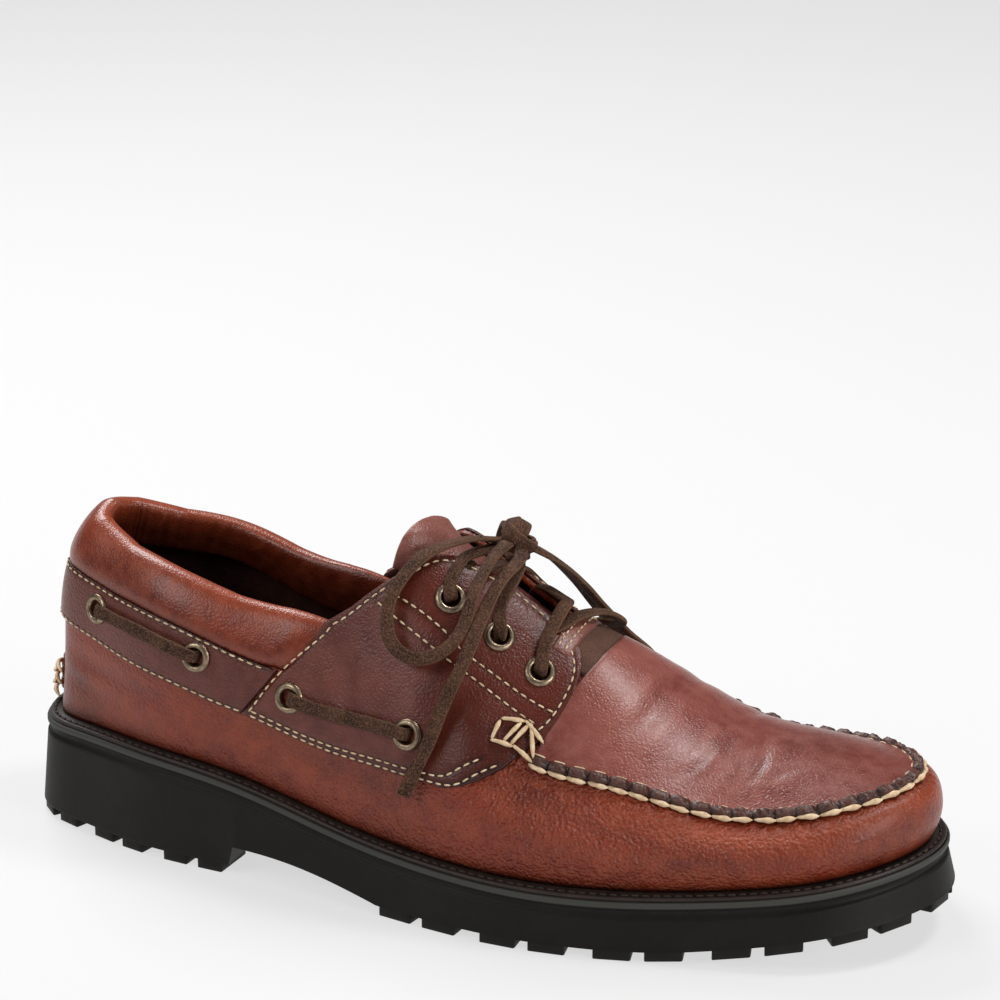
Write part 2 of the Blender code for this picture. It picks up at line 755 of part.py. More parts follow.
def build_toe_seam(leather):
    """Raised, pinched seam round the toe, where vamp and plug are sewn together."""
    start = angle_at(TOE_SEAM_START)
    fine = np.linspace(start, 2 * np.pi - start, 400)
    wanted = spline(station(fine), TOE_SEAM)[..., 0] * BALL_WIDTH
    line = share_at_inset(fine, wanted)
    path = last(fine, line)
    travel = np.concatenate([[0], np.cumsum(np.linalg.norm(np.diff(path, axis=0), axis=1))])
    pinches = round(travel[-1] / SEAM_PINCH)
    at = np.linspace(0, travel[-1], 2 * pinches + 1)
    angle = np.interp(at, travel, fine)
    share = np.interp(at, travel, line)
    height = np.where(np.arange(len(at)) % 2 == 0, SEAM_PINCHED, 1.0) * SEAM_HEIGHT
    length = np.linalg.norm(last(angle, share + 0.02) - last(angle, share), axis=-1) / 0.02
    half = SEAM_WIDTH / 2 / length
    side = np.array([-1.0, 1.0])
    top = share[:, None] + SEAM_TOP_SHARE * side * half[:, None]
    foot = share[:, None] + side * half[:, None]
    outer = last(angle[:, None], top, CLEARANCE + height[:, None])
    return add_object("toe_seam", *shell(outer, last(angle[:, None], foot, SEAM_LIFT)), leather)


def build_heel_seam(leather):
    """Short raised seam up the back of the heel, under the band."""
    across = np.linspace(-1, 1, 5)
    up = np.linspace(0.03, 0.35, 6)
    angle = 0.055 * across[:, None] + 0 * up[None, :]
    share = up[None, :] + 0 * angle
    tall = np.interp(up, [0.03, 0.10, 0.20, 0.35], [0.85, 1.0, 0.55, 0.12])
    swell = (1 - across[:, None] ** 2) * tall[None, :]
    outer = last(angle, share, CLEARANCE + HEEL_SEAM_EDGE + HEEL_SEAM_HEIGHT * swell)
    return add_object("heel_seam", *shell(outer, last(angle, share, CLEARANCE)), leather)


def build_tongue(leather):
    """Curved tongue under the lacing, its broad rounded top standing clear of the throat."""
    along = np.linspace(0, 1, 10)[:, None]
    across = np.linspace(-1, 1, 9)[None, :]
    top = TONGUE_TOP + TONGUE_SLANT * across + TONGUE_ROUNDING * across**4
    share = TONGUE_BASE + (top - TONGUE_BASE) * along
    half = np.interp(share, TONGUE_HALF[:, 0], TONGUE_HALF[:, 1])
    depth = 1 - np.abs(across) * half
    angle = np.where(across < 0, 1, -1) * angle_at(share)
    free = np.clip((depth - opening_share(share) - THROAT_MARGIN) / THROAT_BLEND, 0, 1)
    lift = np.interp(share, [TONGUE_TOP, 0.49, 0.52], [1.0, 0.35, 0.0]) * free * TONGUE_LIFT
    under = UPPER_WALL + TONGUE_GAP
    outer = last(angle, depth, lift - under)
    inner = last(angle, depth, lift - under - TONGUE_THICKNESS)
    return add_object("tongue", *shell(outer, inner), leather)


def surface_frame(angle, share, out):
    """Matrix whose Z is the upper's normal at a place and whose X runs along the shoe."""
    place = Vector(last(angle, share, out))
    normal = (Vector(last(angle, share, out + 0.001)) - place).normalized()
    along = Vector((1, 0, 0)).cross(normal).cross(normal) * -1
    along.normalize()
    across = normal.cross(along)
    return Matrix.Translation(place) @ Matrix((along, across, normal)).transposed().to_4x4()


def lathe(name, profile, sides, finish):
    """Ring turned about Z from a closed profile of (radius, height)."""
    points, faces = [], []
    for i in range(sides):
        turn = 2 * math.pi * i / sides
        points += [(r * math.cos(turn), r * math.sin(turn), z) for r, z in profile]
    count = len(profile)
    for i in range(sides):
        k = (i + 1) % sides
        for j in range(count):
            m = (j + 1) % count
            faces.append((i * count + j, k * count + j, k * count + m, i * count + m))
    return add_object(name, points, faces, finish)


def eyelet_places():
    """Name, angle and share of every eyelet."""
    for side_name, side in (("lateral", 1), ("medial", -1)):
        for name, share, rise in LACE_EYELETS:
            yield f"eyelet_{name}_{side_name}", side * float(angle_at(share)), rise
        for name, share, rise in SIDE_EYELETS:
            yield f"side_eyelet_{name}_{side_name}", side * float(angle_at(share)), rise


def build_eyelets(brass, panels):
    """Eyelet rings, each with a barrel through a hole in the panels and the upper."""
    top = CLEARANCE + OVERLAY_THICKNESS
    barrel = EYELET_HOLE + EYELET_BARREL
    profile = (
        (EYELET_HOLE, -UPPER_WALL - top),
        (barrel, -UPPER_WALL - top),
        (barrel, EYELET_LIFT),
        (EYELET_RADIUS, EYELET_LIFT),
        (barrel, EYELET_LIFT + EYELET_FLANGE),
    )
    holes = []
    faces = []
    sides = EYELET_SIDES
    for name, angle, rise in eyelet_places():
        frame = surface_frame(angle, rise, top)
        ring = lathe(name, profile, sides, brass)
        ring.matrix_world = frame
        first = len(holes)
        for z in (-UPPER_WALL - top - 0.003, 0.003):
            for i in range(sides):
                turn = 2 * math.pi * i / sides
                radius = barrel + CLEARANCE
                holes.append(frame @ Vector((radius * math.cos(turn), radius * math.sin(turn), z)))
        faces += [tuple(first + i for i in range(sides)), tuple(first + sides + i for i in range(sides))]
        for i in range(sides):
            k = (i + 1) % sides
            faces.append((first + i, first + k, first + sides + k, first + sides + i))
    cutter = add_object("eyelet_holes", holes, faces, brass)
    for panel in panels:
        boolean(panel, cutter, "DIFFERENCE")


def ribbon(name, angle, share, out, finish):
    """Flat strip of lace along a path given by angle, share of the section and distance out of the face."""
    path = last(angle, share, out)
    along = np.gradient(path, axis=0)
    side = np.cross(last(angle, share, out + 0.001) - path, along)
    side *= LACE_WIDTH / 2 / np.linalg.norm(side, axis=1, keepdims=True)
    normal = np.cross(along, side)
    normal *= LACE_THICKNESS / 2 / np.linalg.norm(normal, axis=1, keepdims=True)
    outer = np.stack([path + normal - side, path + normal + side], axis=1)
    inner = np.stack([path - normal - side, path - normal + side], axis=1)
    return add_object(name, *shell(outer, inner), finish)


def lace_clearance():
    """Distance of a lace's middle from the upper's face where it passes over an eyelet."""
    top = CLEARANCE + OVERLAY_THICKNESS + EYELET_LIFT + EYELET_FLANGE
    return top + LACE_ARCH + LACE_THICKNESS / 2


def build_crossings(leather):
    """Lace between the three pairs of lace eyelets: two crosses over the tongue, joined where they meet."""
    strips = []
    for back, front in zip(LACE_EYELETS, LACE_EYELETS[1:]):
        for side in (1, -1):
            over = np.linspace(front[2], 2 - back[2], 11)
            place = np.interp(over, over[[0, -1]], [front[1], back[1]])
            angle = np.where(over <= 1, side, -side) * angle_at(place)
            out = lace_clearance() + LACE_ARCH * (side + 1)
            strips.append(ribbon("lace_crossings", angle, 1 - np.abs(over - 1), out, leather))
    for strip in strips[1:]:
        boolean(strips[0], strip, "UNION")


def build_side_laces(leather):
    """Two visible lengths of the side lace on each side, each bridging two eyelets."""
    along = np.linspace(0, 1, 9)
    rest = CLEARANCE * 2 + OVERLAY_THICKNESS + LACE_THICKNESS / 2
    out = rest + (lace_clearance() - rest) * np.interp(np.abs(along - 0.5), [0.2, 0.36], [0, 1])
    for side_name, side in (("lateral", 1), ("medial", -1)):
        for back, front in (SIDE_EYELETS[:2], SIDE_EYELETS[2:]):
            share = back[2] + (front[2] - back[2]) * along
            angle = side * angle_at(back[1] + (front[1] - back[1]) * along)
            ribbon(f"side_lace_{back[0]}_{side_name}", angle, share, out, leather)


def build_bow(leather):
    """Knot, two loops and two ends of the lace."""
    mesh = bpy.data.meshes.new("lace_knot")
    shape = bmesh.new()
    place = Matrix.LocRotScale(Vector(KNOT_CENTRE), None, Vector(KNOT_RADII))
    bmesh.ops.create_icosphere(shape, subdivisions=2, radius=1.0, matrix=place)
    shape.to_mesh(mesh)
    shape.free()
    mesh.materials.append(leather)
    bpy.context.collection.objects.link(bpy.data.objects.new("lace_knot", mesh))
    for name, route in (
        ("lace_loop_lateral", LOOP_LATERAL),
        ("lace_loop_medial", LOOP_MEDIAL),
        ("lace_end_lateral", END_LATERAL),
        ("lace_end_medial", END_MEDIAL),
    ):
        curve = bpy.data.curves.new(name, "CURVE")
        curve.dimensions = "3D"
        curve.bevel_depth = LACE_ROUND
        curve.bevel_resolution = 2
        curve.use_fill_caps = True
        line = curve.splines.new("POLY")
        line.points.add(len(route) - 1)
        for point, place in zip(line.points, route / 1000):
            point.co = (*place, 1)
        curve.materials.append(leather)
        bpy.context.collection.objects.link(bpy.data.objects.new(name, curve))


def clear_scene():
    for obj in list(bpy.data.objects):
        bpy.data.objects.remove(obj)


clear_scene()
rubber = material("black rubber", (0.015, 0.015, 0.016), 0.62)
welt_leather = material("dark welt leather", (0.020, 0.011, 0.009), 0.55)
vamp_leather = material("red-brown leather", (0.20, 0.042, 0.020), 0.38)
panel_leather = material("purple-brown leather", (0.105, 0.026, 0.022), 0.40)
seam_leather = material("dark seam leather", (0.055, 0.014, 0.010), 0.5)
lining_leather = material("dark lining leather", (0.045, 0.016, 0.012), 0.6)
rawhide = material("dark rawhide lace", (0.035, 0.022, 0.014), 0.6)
brass = material("antique brass", (0.36, 0.27, 0.17), 0.35, 1.0)

build_outsole(rubber)
build_welt(welt_leather)
build_insole(lining_leather)
upper = build_upper(vamp_leather)
band = build_back_band(panel_leather)
saddles = [build_saddle("saddle_lateral", 1, panel_leather), build_saddle("saddle_medial", -1, panel_leather)]
build_collar(vamp_leather)
build_toe_seam(seam_leather)
build_heel_seam(vamp_leather)
build_tongue(panel_leather)
build_eyelets(brass, [upper, band, *saddles])
build_crossings(rawhide)
build_side_laces(rawhide)
build_bow(rawhide)
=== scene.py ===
"""Looks of a right boat shoe: pull-up leather upper, hand-sewn toe, side lacing and a lug sole.

Metres. +X to the toe, +Y to the inner side of the foot, +Z up. Every leather piece lies on the last, a
function of the angle round the shoe and the share of the section from the sole's edge up to the ridge.
"""

import json

import bmesh
import bpy
import numpy as np
from mathutils import Matrix
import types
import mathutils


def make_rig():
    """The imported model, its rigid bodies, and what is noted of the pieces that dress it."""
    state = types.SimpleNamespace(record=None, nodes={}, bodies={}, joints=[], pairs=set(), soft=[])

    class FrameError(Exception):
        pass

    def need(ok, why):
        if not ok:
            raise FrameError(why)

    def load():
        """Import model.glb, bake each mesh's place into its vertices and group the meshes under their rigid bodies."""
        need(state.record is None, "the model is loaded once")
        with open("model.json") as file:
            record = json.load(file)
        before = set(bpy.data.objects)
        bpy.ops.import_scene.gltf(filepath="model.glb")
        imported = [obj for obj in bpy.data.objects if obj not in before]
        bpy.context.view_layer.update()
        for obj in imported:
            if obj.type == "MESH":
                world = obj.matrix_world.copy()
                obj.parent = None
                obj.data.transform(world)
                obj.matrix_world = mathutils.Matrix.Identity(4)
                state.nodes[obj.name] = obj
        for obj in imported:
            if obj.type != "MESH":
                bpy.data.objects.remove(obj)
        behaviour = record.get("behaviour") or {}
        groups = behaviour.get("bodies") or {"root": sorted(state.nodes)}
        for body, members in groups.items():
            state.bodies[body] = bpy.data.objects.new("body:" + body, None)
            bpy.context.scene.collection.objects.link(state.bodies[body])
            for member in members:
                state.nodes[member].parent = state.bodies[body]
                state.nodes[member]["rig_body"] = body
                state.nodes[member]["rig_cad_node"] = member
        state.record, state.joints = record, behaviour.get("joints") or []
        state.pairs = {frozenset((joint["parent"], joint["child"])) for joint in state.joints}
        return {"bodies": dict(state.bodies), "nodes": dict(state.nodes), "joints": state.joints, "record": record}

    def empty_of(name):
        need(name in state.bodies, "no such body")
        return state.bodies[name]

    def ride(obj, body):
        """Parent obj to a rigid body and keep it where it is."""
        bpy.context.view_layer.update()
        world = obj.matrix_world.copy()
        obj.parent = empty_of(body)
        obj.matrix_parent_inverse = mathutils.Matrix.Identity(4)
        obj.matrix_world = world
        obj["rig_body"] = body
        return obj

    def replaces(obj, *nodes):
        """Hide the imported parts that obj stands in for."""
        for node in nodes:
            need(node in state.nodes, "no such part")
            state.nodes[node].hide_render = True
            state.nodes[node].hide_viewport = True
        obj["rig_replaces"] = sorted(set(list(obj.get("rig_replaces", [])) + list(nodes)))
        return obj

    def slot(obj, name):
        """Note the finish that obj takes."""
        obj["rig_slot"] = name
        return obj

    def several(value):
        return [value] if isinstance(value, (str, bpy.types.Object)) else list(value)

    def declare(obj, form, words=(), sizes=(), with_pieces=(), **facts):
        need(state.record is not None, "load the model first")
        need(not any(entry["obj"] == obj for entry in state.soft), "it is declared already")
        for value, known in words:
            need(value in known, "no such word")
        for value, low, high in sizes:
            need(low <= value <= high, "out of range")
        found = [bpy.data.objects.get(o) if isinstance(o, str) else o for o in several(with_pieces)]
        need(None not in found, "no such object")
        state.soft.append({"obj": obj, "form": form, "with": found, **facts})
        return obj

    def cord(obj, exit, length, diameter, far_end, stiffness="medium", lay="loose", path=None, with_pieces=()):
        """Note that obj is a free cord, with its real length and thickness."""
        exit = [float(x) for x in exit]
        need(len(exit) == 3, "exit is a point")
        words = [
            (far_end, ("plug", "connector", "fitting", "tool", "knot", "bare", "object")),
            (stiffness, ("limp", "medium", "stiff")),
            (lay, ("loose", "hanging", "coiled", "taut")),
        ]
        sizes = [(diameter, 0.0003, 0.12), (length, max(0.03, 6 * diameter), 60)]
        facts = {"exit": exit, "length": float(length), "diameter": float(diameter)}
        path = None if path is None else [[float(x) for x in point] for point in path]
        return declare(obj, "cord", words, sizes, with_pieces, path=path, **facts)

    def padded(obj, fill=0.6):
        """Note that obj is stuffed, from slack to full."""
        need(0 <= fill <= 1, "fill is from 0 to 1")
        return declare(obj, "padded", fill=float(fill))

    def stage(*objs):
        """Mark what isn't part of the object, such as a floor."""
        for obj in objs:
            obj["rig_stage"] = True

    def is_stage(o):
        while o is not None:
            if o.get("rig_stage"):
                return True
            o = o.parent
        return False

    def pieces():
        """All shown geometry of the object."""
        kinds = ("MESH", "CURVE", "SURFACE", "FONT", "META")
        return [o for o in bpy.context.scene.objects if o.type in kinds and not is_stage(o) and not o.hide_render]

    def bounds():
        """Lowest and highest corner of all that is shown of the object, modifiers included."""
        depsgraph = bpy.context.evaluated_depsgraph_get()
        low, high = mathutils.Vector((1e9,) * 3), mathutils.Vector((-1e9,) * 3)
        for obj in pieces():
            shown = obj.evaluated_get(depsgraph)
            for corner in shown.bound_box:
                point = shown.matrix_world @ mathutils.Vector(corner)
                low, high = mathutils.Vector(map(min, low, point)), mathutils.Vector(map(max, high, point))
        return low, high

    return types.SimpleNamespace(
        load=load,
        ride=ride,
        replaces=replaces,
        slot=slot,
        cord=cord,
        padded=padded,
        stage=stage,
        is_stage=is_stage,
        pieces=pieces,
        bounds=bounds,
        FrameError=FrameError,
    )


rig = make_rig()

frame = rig.load()
cad_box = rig.bounds()


# Camera: a long lens on the shoe's outer side, a little above it, with the toe to the right.
lens = bpy.data.cameras.new("camera")
lens.lens = 119.0
lens.clip_end = 30.0
camera = bpy.data.objects.new("camera", lens)
bpy.context.collection.objects.link(camera)
camera_right = (0.9292, 0.3696, 0.0021)
camera_up = (-0.1223, 0.3021, 0.9454)
camera_back = (0.3488, -0.8787, 0.3259)
camera_place = (0.3589, -0.8872, 0.4500)
columns = zip(camera_right, camera_up, camera_back, camera_place)
camera.matrix_world = Matrix([*columns, (0, 0, 0, 1)])
bpy.context.scene.camera = camera


# Light and floor: a pale floor under four soft boxes, high behind the shoe, at its outer side, past the toe
# and above the instep, in an even white room.
def soft_box(name, place, target, width, height, power):
    data = bpy.data.lights.new(name, "AREA")
    data.shape = "RECTANGLE"
    data.size, data.size_y = width, height
    data.energy = power
    light = bpy.data.objects.new(name, data)
    light.matrix_world = Matrix.Translation(place) @ aim(place, target)
    bpy.context.collection.objects.link(light)


def aim(place, target):
    """Turn that points -Z from a place to a target."""
    back = np.subtract(place, target)
    back = back / np.linalg.norm(back)
    side = np.cross((0, 0, 1), back)
    side = side / np.linalg.norm(side)
    turn = np.stack([side, np.cross(back, side), back], axis=1)
    return Matrix(turn.tolist()).to_4x4()


world = bpy.data.worlds.new("white room")
bpy.context.scene.world = world
world.use_nodes = True
world.node_tree.nodes["Background"].inputs["Color"].default_value = (1.0, 1.0, 1.0, 1.0)
world.node_tree.nodes["Background"].inputs["Strength"].default_value = 0.15
bpy.context.scene.view_settings.view_transform = "Standard"
soft_box("box behind", (-0.75, 0.62, 1.15), (0.03, 0.0, 0.06), 0.75, 0.6, 17)
soft_box("box left", (-0.9, -1.1, 1.1), (0.0, 0.0, 0.05), 0.8, 0.8, 10)
soft_box("box toe", (1.22, -0.42, 0.50), (0.12, -0.02, 0.04), 0.40, 0.5, 8)
soft_box("box above", (0.50, 0.27, 1.22), (0.07, -0.02, 0.08), 0.30, 0.34, 8.5)

FLOOR_REACH = 9.0
floor_finish = bpy.data.materials.new("pale floor")
floor_finish.use_nodes = True
floor_inputs = floor_finish.node_tree.nodes["Principled BSDF"].inputs
floor_inputs["Base Color"].default_value = (0.20, 0.20, 0.20, 1.0)
floor_inputs["Roughness"].default_value = 0.8
floor_inputs["Emission Color"].default_value = (1.0, 1.0, 1.0, 1.0)
floor_inputs["Emission Strength"].default_value = 0.64
floor_mesh = bpy.data.meshes.new("floor")
corners = [(x * FLOOR_REACH, y * FLOOR_REACH, 0) for x, y in ((-1, -1), (1, -1), (1, 1), (-1, 1))]
floor_mesh.from_pydata(corners, [], [(0, 1, 2, 3)])
floor_mesh.materials.append(floor_finish)
floor = bpy.data.objects.new("floor", floor_mesh)
bpy.context.collection.objects.link(floor)
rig.stage(floor)


# Bow: flat dark rawhide lace, 4.2 mm wide, tied over the tongue. The knot, two loops and two ends are
# strips cut from one hide, rough on one face and paler on their cut edges.
LACE_WIDTH = 0.0042
LACE_THICKNESS = 0.0017
KNOT_WIDTH = 0.0046
KNOT_THICKNESS = 0.0018
LACE_STEP = 0.0012
WELD = 1e-6
STEP = 1e-3


def spline(x, table):
    """Natural cubic spline through a table's rows: column 0 is the place, the others are values."""
    place, value = table[:, 0], table[:, 1:]
    gap = np.diff(place)
    slope = np.diff(value, axis=0) / gap[:, None]
    matrix = np.eye(len(place))
    for i in range(1, len(place) - 1):
        matrix[i, i - 1 : i + 2] = gap[i - 1], 2 * (gap[i - 1] + gap[i]), gap[i]
    right = np.zeros_like(value)
    right[1:-1] = 6 * np.diff(slope, axis=0)
    bend = np.linalg.solve(matrix, right)
    x = np.clip(np.asarray(x, float), place[0], place[-1])
    i = np.clip(np.searchsorted(place, x, side="right") - 1, 0, len(place) - 2)
    before, after, width = (place[i + 1] - x)[..., None], (x - place[i])[..., None], gap[i][..., None]
    curved = (bend[i] * before**3 + bend[i + 1] * after**3) / (6 * width)
    straight = (value[i] / width - bend[i] * width / 6) * before
    return curved + straight + (value[i + 1] / width - bend[i + 1] * width / 6) * after


def lengths(path):
    """Distance along a path at each of its points."""
    return np.concatenate([[0], np.cumsum(np.linalg.norm(np.diff(path, axis=0), axis=1))])


def unit(vectors):
    return vectors / np.linalg.norm(vectors, axis=-1, keepdims=True)


def fade_in(values, start, width):
    """Share from 0 at the start to 1 a width further on."""
    return np.clip((values - start) / width, 0, 1)


def bump(values, centre, width):
    """Bell curve that is 1 at its centre."""
    return np.exp(-(((values - centre) / width) ** 2))


def make_piece(name, points, quads, finishes, slot, stands_for=None, finish_of_quad=None, **traits):
    """Smooth closed mesh that rides with the shoe, its finishes, and a value of each trait at each point.

    It takes the place of the solid that it stands for, and its colour belongs to a slot.
    """
    mesh = bpy.data.meshes.new(name)
    mesh.vertices.add(len(points))
    mesh.vertices.foreach_set("co", np.ascontiguousarray(points, np.float32).ravel())
    mesh.loops.add(quads.size)
    mesh.loops.foreach_set("vertex_index", np.ascontiguousarray(quads, np.int32).ravel())
    mesh.polygons.add(len(quads))
    mesh.polygons.foreach_set("loop_start", np.arange(0, quads.size, 4, dtype=np.int32))
    mesh.polygons.foreach_set("use_smooth", np.ones(len(quads), bool))
    if finish_of_quad is not None:
        mesh.polygons.foreach_set("material_index", np.ascontiguousarray(finish_of_quad, np.int32))
    mesh.update(calc_edges=True)
    for trait, values in traits.items():
        data = mesh.attributes.new(trait, "FLOAT", "POINT").data
        data.foreach_set("value", np.ascontiguousarray(values, np.float32).ravel())
    shape = bmesh.new()
    shape.from_mesh(mesh)
    bmesh.ops.remove_doubles(shape, verts=shape.verts, dist=WELD)
    bmesh.ops.recalc_face_normals(shape, faces=shape.faces)
    shape.to_mesh(mesh)
    shape.free()
    for finish in finishes:
        mesh.materials.append(finish)
    piece = bpy.data.objects.new(name, mesh)
    bpy.context.collection.objects.link(piece)
    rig.ride(piece, "root")
    if stands_for:
        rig.replaces(piece, stands_for)
    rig.slot(piece, slot)
    return piece


def grid_quads(rows, columns, loop_rows=False, loop_columns=False):
    """Quads of a grid of points, numbered row by row."""
    number = np.arange(rows * columns).reshape(rows, columns)
    below = np.roll(number, -1, axis=0)
    quads = np.stack([number, below, np.roll(below, -1, axis=1), np.roll(number, -1, axis=1)], axis=-1)
    return quads[: rows - 1 + loop_rows, : columns - 1 + loop_columns].reshape(-1, 4)


def strip_grid(path, outward, width, thickness, twist):
    """Rounded flat strip along a path: rings of points, closed by shrinking rings at both ends.

    Each ring is a superellipse whose long axis lies across the path and along the surface.
    """
    along = unit(np.gradient(path, axis=0))
    side = np.cross(outward, along)
    hold = np.clip((np.linalg.norm(side, axis=1) - 0.2) / 0.4, 0, 1)
    start = int(np.argmax(hold))
    side = unit(side)
    for i in (*range(start + 1, len(path)), *range(start - 1, -1, -1)):
        before = side[i - 1 if i > start else i + 1]
        carried = unit(before - along[i] * (before @ along[i]))
        wanted = side[i] * (1 if side[i] @ carried >= 0 else -1)
        side[i] = unit(carried * (1 - hold[i]) + wanted * hold[i])
    normal = np.cross(along, side)
    turn = np.radians(twist)[:, None]
    side, normal = side * np.cos(turn) + normal * np.sin(turn), normal * np.cos(turn) - side * np.sin(turn)
    round_about = np.linspace(0, 2 * np.pi, 16, endpoint=False)
    wide = np.sign(np.cos(round_about)) * np.abs(np.cos(round_about)) ** 0.5 * width / 2
    thick = np.sign(np.sin(round_about)) * np.abs(np.sin(round_about)) ** 0.6 * thickness / 2
    section = side[:, None] * wide[None, :, None] + normal[:, None] * thick[None, :, None]
    ring = path[:, None] + section
    start = [path[0] + section[0] * k for k in (0.0, 0.6, 0.92)]
    end = [path[-1] + section[-1] * k for k in (0.92, 0.6, 0.0)]
    edge = np.abs(wide) / (width / 2)
    return np.concatenate([start, ring, end]), edge


def smooth_path(route):
    """Points in metres, evenly spaced on a smooth curve through a route in millimetres, and its lengths."""
    route = np.array(route) / 1000
    travel = lengths(route)
    count = int(travel[-1] / LACE_STEP) + 2
    return spline(np.linspace(0, travel[-1], count), np.column_stack([travel, route])), travel


def outward_of(path):
    """Direction away from the middle line of the shoe, level with the instep."""
    core = np.column_stack([path[:, 0] - 0.004, np.full(len(path), 0.001), np.full(len(path), 0.055)])
    return unit(path - core)


def lace_strip(route, twist=0.0, width=LACE_WIDTH, thickness=LACE_THICKNESS, outward=None):
    """Points, quads, paleness of the edges and middle line of one length of lace."""
    path, travel = smooth_path(route)
    turn = np.broadcast_to(twist, len(route))
    turn = np.interp(np.linspace(0, travel[-1], len(path)), travel, turn)
    wave = 1 + 0.05 * np.sin(np.arange(len(path)) * 0.37) * np.sin(np.arange(len(path)) * 0.11)
    away = outward_of(path) if outward is None else np.broadcast_to(outward, path.shape)
    grid, edge = strip_grid(path, away, width, thickness, turn)
    middle = grid.mean(axis=1, keepdims=True)
    swell = np.concatenate([np.ones(3), wave, np.ones(3)])
    grid = middle + (grid - middle) * swell[:, None, None]
    rings, around = grid.shape[:2]
    quads = grid_quads(rings, around, loop_columns=True)
    return grid.reshape(-1, 3), quads, np.tile(edge, rings), path


def joined(parts):
    """Several meshes of points, quads and one trait as one."""
    shift = np.cumsum([0] + [len(part[0]) for part in parts[:-1]])
    points = np.concatenate([part[0] for part in parts])
    quads = np.concatenate([part[1] + start for part, start in zip(parts, shift)])
    return points, quads, np.concatenate([part[2] for part in parts])


class Nodes:
    """Short way to wire a material: each call adds a node, sets its values and returns it."""

    def __init__(self, name):
        self.finish = bpy.data.materials.new(name)
        self.finish.use_nodes = True
        self.tree = self.finish.node_tree
        self.shader = self.tree.nodes["Principled BSDF"]
        self.place = self.add("ShaderNodeTexCoord").outputs["Object"]

    def add(self, kind, settings=None, **sockets):
        node = self.tree.nodes.new(kind)
        for key, value in (settings or {}).items():
            setattr(node, key, value)
        for key, value in sockets.items():
            self.put(node, key.replace("_", " "), value)
        return node

    def put(self, node, key, value):
        socket = node.inputs[int(key) if key.isdigit() else key]
        if isinstance(value, bpy.types.NodeSocket):
            self.tree.links.new(value, socket)
        else:
            socket.default_value = value

    def noise(self, scale, detail=3.0, roughness=0.5, stretch=None):
        place = self.place
        if stretch:
            place = self.add("ShaderNodeMapping", Vector=place, Scale=stretch).outputs[0]
        made = self.add("ShaderNodeTexNoise", Vector=place, Scale=scale, Detail=detail, Roughness=roughness)
        return made.outputs["Fac"]

    def ramp(self, value, *stops):
        """Grey ramp between two stops of (place, grey)."""
        node = self.add("ShaderNodeValToRGB", Fac=value)
        for element, (place, grey) in zip(node.color_ramp.elements, stops):
            element.position = place
            element.color = (grey, grey, grey, 1.0)
        return node.outputs["Color"]

    def mix(self, amount, first, second):
        node = self.add("ShaderNodeMix", {"data_type": "RGBA"})
        for index, value in ((0, amount), (6, first), (7, second)):
            if isinstance(value, tuple):
                value = (*value, 1.0)
            self.put(node, str(index), value)
        return node.outputs[2]

    def maths(self, operation, first, second):
        node = self.add("ShaderNodeMath", {"operation": operation})
        self.put(node, "0", first)
        self.put(node, "1", second)
        return node.outputs[0]

    def trait(self, name):
        return self.add("ShaderNodeAttribute", {"attribute_name": name}).outputs["Fac"]

    def finish_with(self, colour, roughness, height, depth, strength, **fixed):
        raised = self.add("ShaderNodeBump", Height=height, Distance=depth, Strength=strength)
        self.put(self.shader, "Base Color", colour)
        self.put(self.shader, "Roughness", roughness)
        self.put(self.shader, "Normal", raised.outputs[0])
        for key, value in fixed.items():
            self.put(self.shader, key.replace("_", " "), value)
        return self.finish


def rawhide():
    made = Nodes("dark rawhide lace")
    fleck = made.ramp(made.noise(1900, 2.0, 0.75), (0.47, 0.0), (0.62, 1.0))
    patch = made.ramp(made.noise(160), (0.35, 0.0), (0.65, 1.0))
    body = made.mix(patch, (0.025, 0.0108, 0.0062), (0.066, 0.029, 0.0172))
    rough = made.mix(made.maths("MULTIPLY", fleck, 0.55), body, (0.21, 0.108, 0.064))
    edge = made.ramp(made.trait("edge"), (0.90, 0.0), (1.0, 0.45))
    colour = made.mix(edge, rough, (0.20, 0.115, 0.065))
    height = made.noise(900, 4.0, 0.7)
    return made.finish_with(colour, 0.75, height, 0.0005, 1.0, Specular_IOR_Level=0.15)


lace_finish = rawhide()
KNOT = (12.4, 1.5, 110.7)
LOOP_LATERAL = [
    (6.4, -2.0, 108.7), (2.0, -6.5, 110.0), (-5.1, -13.5, 109.4), (-10.4, -20.0, 107.0),
    (-14.6, -26.5, 101.6), (-16.5, -31.0, 96.5), (-16.3, -34.5, 90.4), (-13.5, -37.0, 84.3),
    (-7.8, -38.0, 81.2), (-2.2, -38.0, 81.6), (4.1, -35.2, 85.2), (7.0, -30.0, 90.5), (7.6, -24.0, 98.0),
    (8.5, -17.0, 103.8), (9.7, -10.5, 107.4), (11.2, -4.6, 109.0),
]
LOOP_MEDIAL = [
    (16.0, 3.2, 105.8), (20.9, 5.4, 102.9), (25.2, 8.6, 98.8), (29.3, 13.0, 92.4), (32.0, 17.5, 86.2),
    (35.2, 22.0, 79.7), (38.6, 26.4, 73.2), (42.6, 31.0, 67.0), (45.6, 35.2, 61.2), (44.5, 38.6, 57.8),
    (40.2, 39.4, 59.0), (35.4, 37.4, 65.0), (30.5, 33.5, 73.0), (26.0, 28.4, 82.0), (22.4, 22.0, 90.8),
    (18.8, 14.6, 98.6), (14.0, 6.6, 105.4),
]
